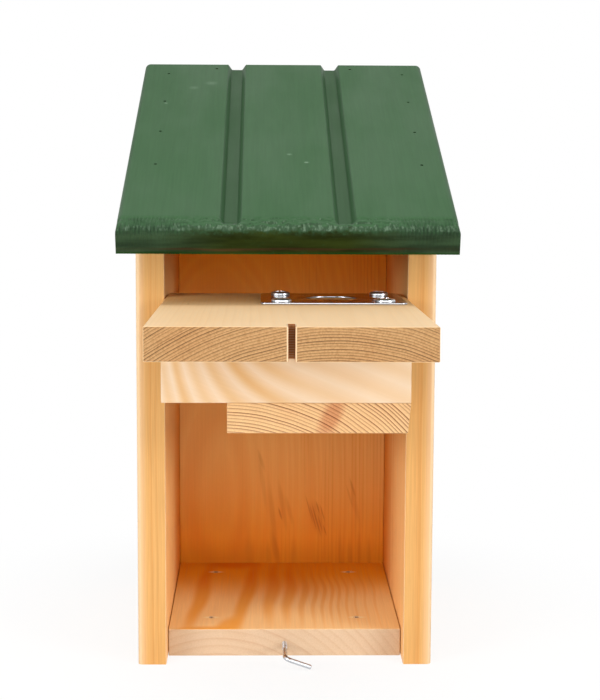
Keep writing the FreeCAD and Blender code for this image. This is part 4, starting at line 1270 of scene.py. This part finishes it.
class NESTBOX_OT_porch(bpy.types.Operator):
    """Give the porch floor broad curved figure, and the baffle bold rings on its end"""

    bl_idname = "nest_box.porch"
    bl_label = "Porch"

    # The porch floor's trunk, and its pith from the floor's left end and above its top
    PORCH_ALONG = 0.4 * UP - RIGHT
    PORCH_PITH_ASIDE = 129 * MM
    PORCH_PITH_ABOVE = 60 * MM
    # A width below 0 turns the rings' sharp side towards the pith
    PORCH_RING = -15 * MM
    PORCH_FLARE = 75
    # Places across between which the figure fades to the right
    PORCH_FADE = (-30 * MM, 20 * MM)
    # The baffle's pith, to the left and below its box
    BAFFLE_PITH_ASIDE = -38 * MM
    BAFFLE_PITH_BELOW = 100 * MM
    BAFFLE_RING = 2.0 * MM
    BAFFLE_WANDER = 4 * MM
    # The reddish stain in its end: place across and below its top, run, half width and strength
    STAIN_ASIDE = 26 * MM
    STAIN_BELOW = 8 * MM
    STAIN_RUN = Vector((0.016, 0, 0.034))
    STAIN_HALF = 8 * MM
    STAIN_STRENGTH = 0.9

    def execute(self, context):
        colours = context.scene.nest_box.colours
        low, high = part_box("porch_floor")
        pith = Vector((low.x + self.PORCH_PITH_ASIDE, low.y, high.z + self.PORCH_PITH_ABOVE))
        faded = deepened(RIGHT, *self.PORCH_FADE, colours.porch_pale, "MIX", 0.45)
        porch = pine("porch_pine", self.PORCH_ALONG, pith, self.PORCH_RING, colours.porch_pale,
                     colours.porch_ring, flare=self.PORCH_FLARE, unevenness=0.3, softness=0.8, contrast=0.95,
                     fibres=0.3, touches=[faded])
        dress(porch, "porch_floor")
        low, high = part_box("baffle")
        pith = Vector((self.BAFFLE_PITH_ASIDE, low.y, low.z - self.BAFFLE_PITH_BELOW))
        centre = Vector((self.STAIN_ASIDE, low.y, high.z - self.STAIN_BELOW))
        stain = (centre, self.STAIN_RUN, self.STAIN_HALF, self.STAIN_STRENGTH)
        baffle = pine("baffle_pine", DOOR_UP, pith, self.BAFFLE_RING, colours.baffle_pale,
                      colours.baffle_ring, wander=self.BAFFLE_WANDER, unevenness=0.8, contrast=0.5,
                      pores=0.2, touches=[spindles([stain], colours.baffle_stain, "MULTIPLY")])
        dress(baffle, "baffle")
        return {"FINISHED"}


class NESTBOX_OT_plate(bpy.types.Operator):
    """Draw the bright entrance plate with eased edges and its screws"""

    bl_idname = "nest_box.plate"
    bl_label = "Entrance plate"

    # Steps round the entrance, a screw hole and a corner, and on the rounded edges
    ENTRANCE_STEPS = 72
    HOLE_STEPS = 24
    CORNER_STEPS = 8
    RIM_STEPS = 2
    # Angle in degrees from which an edge is creased
    CREASE = 50

    def execute(self, context):
        colours = context.scene.nest_box.colours
        sizes = context.scene.nest_box.sizes
        steel = metal("plate_steel", colours.plate, 0.10, 0.22, ROLLED, 0.05)
        zinc = metal("plate_screw_zinc", colours.zinc, 0.24, 0.40, PLATED, 0.1)
        plate_points = [vertex.co for vertex in frame["nodes"]["entrance_plate"].data.vertices]
        heights = [point.dot(DOOR_OUT) for point in plate_points]
        spread = [point.dot(DOOR_UP) for point in plate_points]
        side = max(spread) - min(spread)
        thickness = max(heights) - min(heights)
        centre = middle(plate_points)
        seat = frame_at(centre, RIGHT, DOOR_OUT)
        solids = solid_middles("plate_screws")
        heads = []
        for points in solids:
            spot = seat.inverted() @ middle(points)
            heads.append((spot.x, spot.y))
        outlines = [self.rounded_square(side, sizes.plate_corner)]
        outlines.append(self.ring(0, 0, sizes.entrance_bore / 2, self.ENTRANCE_STEPS))
        outlines += [self.ring(x, y, sizes.plate_screw_bore / 2, self.HOLE_STEPS) for x, y in heads]
        plate = self.sheet("guard_plate", outlines, thickness, sizes.plate_rim, seat, steel)
        settle(plate, "door", "plate_steel", "entrance_plate")
        places = [seat @ Matrix.Translation((x, y, thickness / 2)) for x, y in heads]
        depths = [point.dot(DOOR_OUT) for point in solids[0]]
        bite = max(depths) - min(depths)
        piece = screws("pan_head_screws", places, sizes.plate_screw_head / 2, sizes.plate_screw_rise,
                       sizes.screw_shank, bite - sizes.plate_screw_rise, zinc)
        settle(piece, "door", "zinc_steel", "plate_screws")
        return {"FINISHED"}

    @staticmethod
    def ring(x, y, radius, count):
        """Points of a round hole."""
        turns = [2 * math.pi * index / count for index in range(count)]
        return [(x + radius * math.cos(turn), y + radius * math.sin(turn)) for turn in turns]

    def rounded_square(self, side, corner):
        """Points of a square with rounded corners."""
        inset = side / 2 - corner
        points = []
        middles = ((inset, inset), (-inset, inset), (-inset, -inset), (inset, -inset))
        for quarter, (x, y) in enumerate(middles):
            for step in range(self.CORNER_STEPS + 1):
                turn = math.pi / 2 * (quarter + step / self.CORNER_STEPS)
                points.append((x + corner * math.cos(turn), y + corner * math.sin(turn)))
        return points

    def sheet(self, name, outlines, thickness, rim, seat, material):
        """A flat piece cut to outlines, its edges rounded."""
        curve = bpy.data.curves.new(name + "_outline", "CURVE")
        curve.dimensions = "2D"
        curve.fill_mode = "BOTH"
        curve.extrude = thickness / 2 - rim
        curve.bevel_depth = rim
        curve.bevel_resolution = self.RIM_STEPS
        curve.offset = -rim
        for outline in outlines:
            spline = curve.splines.new("POLY")
            spline.points.add(len(outline) - 1)
            spline.use_cyclic_u = True
            for point, (x, y) in zip(spline.points, outline):
                point.co = (x, y, 0, 1)
        drawn = bpy.data.objects.new(name + "_outline", curve)
        bpy.context.scene.collection.objects.link(drawn)
        graph = bpy.context.evaluated_depsgraph_get()
        mesh = bpy.data.meshes.new_from_object(drawn.evaluated_get(graph))
        vertices = [seat @ vertex.co for vertex in mesh.vertices]
        faces = [tuple(face.vertices) for face in mesh.polygons]
        bpy.data.objects.remove(drawn)
        bpy.data.curves.remove(curve)
        bpy.data.meshes.remove(mesh)
        return mesh_object(name, vertices, faces, material, sharp=self.CREASE)


class NESTBOX_OT_pins(bpy.types.Operator):
    """Give the two sunk screws that the door turns on a zinc coat"""

    bl_idname = "nest_box.pins"
    bl_label = "Pivot pins"

    def execute(self, context):
        colours = context.scene.nest_box.colours
        zinc = metal("pivot_pin_zinc", colours.zinc, 0.18, 0.34, PLATED, 0.1)
        dress(zinc, "pivot_pin_left", "pivot_pin_right")
        return {"FINISHED"}


class NESTBOX_OT_hook(bpy.types.Operator):
    """Draw the bent wire hook that locks the door"""

    bl_idname = "nest_box.hook"
    bl_label = "Turn hook"

    # The thread's pitch, and how far it stands out of the wire and is cut into it
    PITCH = 1.5 * MM
    CREST = 0.22 * MM
    ROOT = 0.30 * MM
    # Steps along a turn of the thread, round the bend and round the wire, and the arm's eased end
    THREAD_STEPS = 8
    BEND_STEPS = 12
    ROUND_STEPS = 28
    CHAMFER = 0.4 * MM

    def execute(self, context):
        colours = context.scene.nest_box.colours
        sizes = context.scene.nest_box.sizes
        zinc = metal("hook_zinc", colours.zinc, 0.22, 0.40, DRAWN, 0.15)
        radius = sizes.hook_wire / 2
        corner = Vector((sizes.hook_bend, -(sizes.hook_reach - sizes.hook_bend), 0))
        path = [(Vector((0, sizes.hook_bite, 0)), radius), (Vector((0, 0, 0)), radius)]
        steps = round(sizes.hook_thread / (self.PITCH / self.THREAD_STEPS))
        for step in range(1, steps):
            path.append((Vector((0, -sizes.hook_thread * step / steps, 0)), radius))
        for step in range(self.BEND_STEPS + 1):
            turn = math.pi + math.pi / 2 * step / self.BEND_STEPS
            path.append((corner + Vector((math.cos(turn), math.sin(turn), 0)) * sizes.hook_bend, radius))
        path.append((Vector((sizes.hook_arm - self.CHAMFER, -sizes.hook_reach, 0)), radius))
        path.append((Vector((sizes.hook_arm, -sizes.hook_reach, 0)), radius - self.CHAMFER))
        place = Matrix.Translation(HOOK_PLACE) @ Matrix.Rotation(HOOK_DROOP, 4, "Y")
        wire = moved(self.wire(path, sizes.hook_thread), place)
        piece = mesh_object("hook_wire", *wire, zinc, sharp=SCREW_CREASE)
        settle(piece, "hook", "zinc_steel", "turn_hook")
        return {"FINISHED"}

    def ridge(self, run, turn, length):
        """How far the thread stands out of the wire, so far along it and so far round it."""
        if run <= 0 or run >= length:
            return 0
        wave = 0.5 + 0.5 * math.cos(2 * math.pi * run / self.PITCH - turn)
        return (self.CREST + self.ROOT) * wave ** 2 - self.ROOT

    def wire(self, path, thread):
        """A round wire along level points, each with its radius, threaded just outside the floor."""
        rings = []
        for index, (point, radius) in enumerate(path):
            before = path[max(index - 1, 0)][0]
            after = path[min(index + 1, len(path) - 1)][0]
            ahead = (after - before).normalized()
            side = ahead.cross(UP)
            turns = [2 * math.pi * step / self.ROUND_STEPS for step in range(self.ROUND_STEPS)]
            reach = [radius + self.ridge(-point.y, turn, thread) for turn in turns]
            rings.append([point + (side * math.cos(turn) + UP * math.sin(turn)) * far
                          for turn, far in zip(turns, reach)])
        return loft(rings)


class NESTBOX_OT_nails(bpy.types.Operator):
    """Give the sunk brads plain steel"""

    bl_idname = "nest_box.nails"
    bl_label = "Brads"

    def execute(self, context):
        colours = context.scene.nest_box.colours
        steel = metal("brad_steel", colours.nail, 0.35, 0.55, PLAIN, 0.2)
        rows = [name for name in frame["nodes"] if "nails" in name]
        if not rows:
            raise RuntimeError("the frame has no brads")
        dress(steel, *rows)
        return {"FINISHED"}


class NESTBOX_OT_stage(bpy.types.Operator):
    """Set the white studio, its lamps and the camera"""

    bl_idname = "nest_box.stage"
    bl_label = "Studio"

    # What the lamps look at, and each lamp's place, width and height; side lamps stand on both sides
    AIM = Vector((0, -0.05, 0.18))
    KEY = (Vector((0, -0.65, 2.4)), (1.2, 0.8))
    FRONT = (Vector((0, -2.1, 0.65)), (1.4, 1.1))
    TALL = (Vector((1.2, -1.4, 1.0)), (0.65, 1.2))
    LOW = (Vector((1.5, -1.1, 0.55)), (0.5, 0.4))
    # Half of the floor's width, the distances between which it turns white where seen, and its least white
    REACH = 6.0
    WHITER = (0.10, 0.32)
    LEAST_WHITE = 0.85
    # The camera's place, its turns in degrees to the side, up and round, and its sensor in millimetres
    CAMERA_PLACE = Vector((-0.01501, -1.20846, 0.35051))
    CAMERA_TURNS = (-1.234, -7.5685, -0.278)
    SENSOR = 36.0

    def execute(self, context):
        colours = context.scene.nest_box.colours
        studio = context.scene.nest_box.studio
        context.scene.view_settings.view_transform = "Standard"
        self.world(context.scene, studio)
        self.ground(colours)
        self.lamp("key_lamp", *self.KEY, studio.key_power)
        self.lamp("front_lamp", *self.FRONT, studio.front_power)
        for name, side in (("left", -1), ("right", 1)):
            self.lamp(f"{name}_lamp", *self.TALL, studio.side_power, side)
            self.lamp(f"low_{name}_lamp", *self.LOW, studio.low_power, side)
        self.camera(context.scene, studio)
        return {"FINISHED"}

    @staticmethod
    def seen_directly(tree):
        """1 for what the camera, a mirror or a glass looks at, 0 for what only lights the scene."""
        path = add(tree, "ShaderNodeLightPath").outputs
        seen = maths(tree, "MAXIMUM", path["Is Camera Ray"], path["Is Glossy Ray"])
        return maths(tree, "MAXIMUM", seen, path["Is Transmission Ray"])

    def world(self, scene, studio):
        """Even white light, and a white sky where it is seen."""
        world = bpy.data.worlds.new("studio_sky")
        world.use_nodes = True
        tree = world.node_tree
        strength = ranged(tree, self.seen_directly(tree), 0, 1, studio.ambient, 1.0)
        background = tree.nodes["Background"]
        background.inputs["Color"].default_value = (1, 1, 1, 1)
        tree.links.new(strength, background.inputs["Strength"])
        scene.world = world

    def ground(self, colours):
        """A wide white floor that fades into the sky away from the box."""
        ways = ((-1, -1), (1, -1), (1, 1), (-1, 1))
        corners = [Vector((x, y, 0)) * self.REACH for x, y in ways]
        material, tree, shader = new_material("studio_floor")
        seat = add(tree, "ShaderNodeTexCoord").outputs["Object"]
        grain = speckle(tree, seat, 30, 4).outputs[0]
        set_shader(tree, shader, Base_Color=colours.studio, Roughness=ranged(tree, grain, 0, 1, 0.75, 0.9))
        glow = add(tree, "ShaderNodeEmission", (1, 1, 1, 1), 1.0).outputs[0]
        far = ranged(tree, vectors(tree, "LENGTH", seat), *self.WHITER, self.LEAST_WHITE, 1.0)
        share_white = maths(tree, "MULTIPLY", far, self.seen_directly(tree))
        blend = add(tree, "ShaderNodeMixShader", share_white, shader.outputs[0], glow)
        tree.links.new(blend.outputs[0], tree.nodes["Material Output"].inputs["Surface"])
        floor = mesh_object("studio_floor", corners, [(0, 1, 2, 3)], material)

    def lamp(self, name, place, size, watts, side=1):
        """A soft lamp, so wide and so high, that looks at the box, on the right or mirrored to the left."""
        data = bpy.data.lights.new(name, "AREA")
        data.shape = "RECTANGLE"
        data.size, data.size_y = size
        data.energy = watts
        lamp = bpy.data.objects.new(name, data)
        lamp.location = Vector((side * place.x, place.y, place.z))
        lamp.rotation_mode = "QUATERNION"
        lamp.rotation_quaternion = (self.AIM - lamp.location).to_track_quat("-Z", "Y")
        bpy.context.scene.collection.objects.link(lamp)

    def camera(self, scene, studio):
        """The camera, a little above the box and looking slightly down."""
        data = bpy.data.cameras.new("camera")
        data.lens = studio.lens
        data.sensor_width = self.SENSOR
        data.dof.use_dof = False
        camera = bpy.data.objects.new("camera", data)
        scene.collection.objects.link(camera)
        yaw, pitch, roll = (math.radians(angle) for angle in self.CAMERA_TURNS)
        level = Matrix.Rotation(math.radians(90), 4, "X")
        turn = Matrix.Rotation(yaw, 4, "Z") @ Matrix.Rotation(pitch, 4, "X") @ Matrix.Rotation(roll, 4, "Y")
        camera.matrix_world = Matrix.Translation(self.CAMERA_PLACE) @ turn @ level
        scene.camera = camera


class NESTBOX_PT_panel(bpy.types.Panel):
    """Buttons that dress the nest box, and what they use"""

    bl_idname = "NESTBOX_PT_panel"
    bl_label = "Nest box"
    bl_space_type = "VIEW_3D"
    bl_region_type = "UI"
    bl_category = "Nest box"

    def draw(self, context):
        for maker in MAKERS:
            self.layout.operator(maker.bl_idname)
        for group in ("colours", "sizes", "studio"):
            held = getattr(context.scene.nest_box, group)
            box = self.layout.box()
            box.label(text=group.capitalize())
            for name in held.__annotations__:
                box.prop(held, name)


MAKERS = (NESTBOX_OT_growth, NESTBOX_OT_walls, NESTBOX_OT_back, NESTBOX_OT_floor, NESTBOX_OT_roof,
          NESTBOX_OT_door, NESTBOX_OT_porch, NESTBOX_OT_plate, NESTBOX_OT_pins, NESTBOX_OT_hook,
          NESTBOX_OT_nails, NESTBOX_OT_stage)
CLASSES = (NestBoxColours, NestBoxSizes, NestBoxStudio, NestBoxSettings, *MAKERS, NESTBOX_PT_panel)


def register():
    for made in CLASSES:
        bpy.utils.register_class(made)
    bpy.types.Scene.nest_box = PointerProperty(type=NestBoxSettings)


def unregister():
    del bpy.types.Scene.nest_box
    for made in reversed(CLASSES):
        bpy.utils.unregister_class(made)


def main():
    register()
    bpy.ops.nest_box.growth()
    bpy.ops.nest_box.walls()
    bpy.ops.nest_box.back()
    bpy.ops.nest_box.floor()
    bpy.ops.nest_box.roof()
    bpy.ops.nest_box.door()
    bpy.ops.nest_box.porch()
    bpy.ops.nest_box.plate()
    bpy.ops.nest_box.pins()
    bpy.ops.nest_box.hook()
    bpy.ops.nest_box.nails()
    bpy.ops.nest_box.stage()


if __name__ == "__main__":
    main()
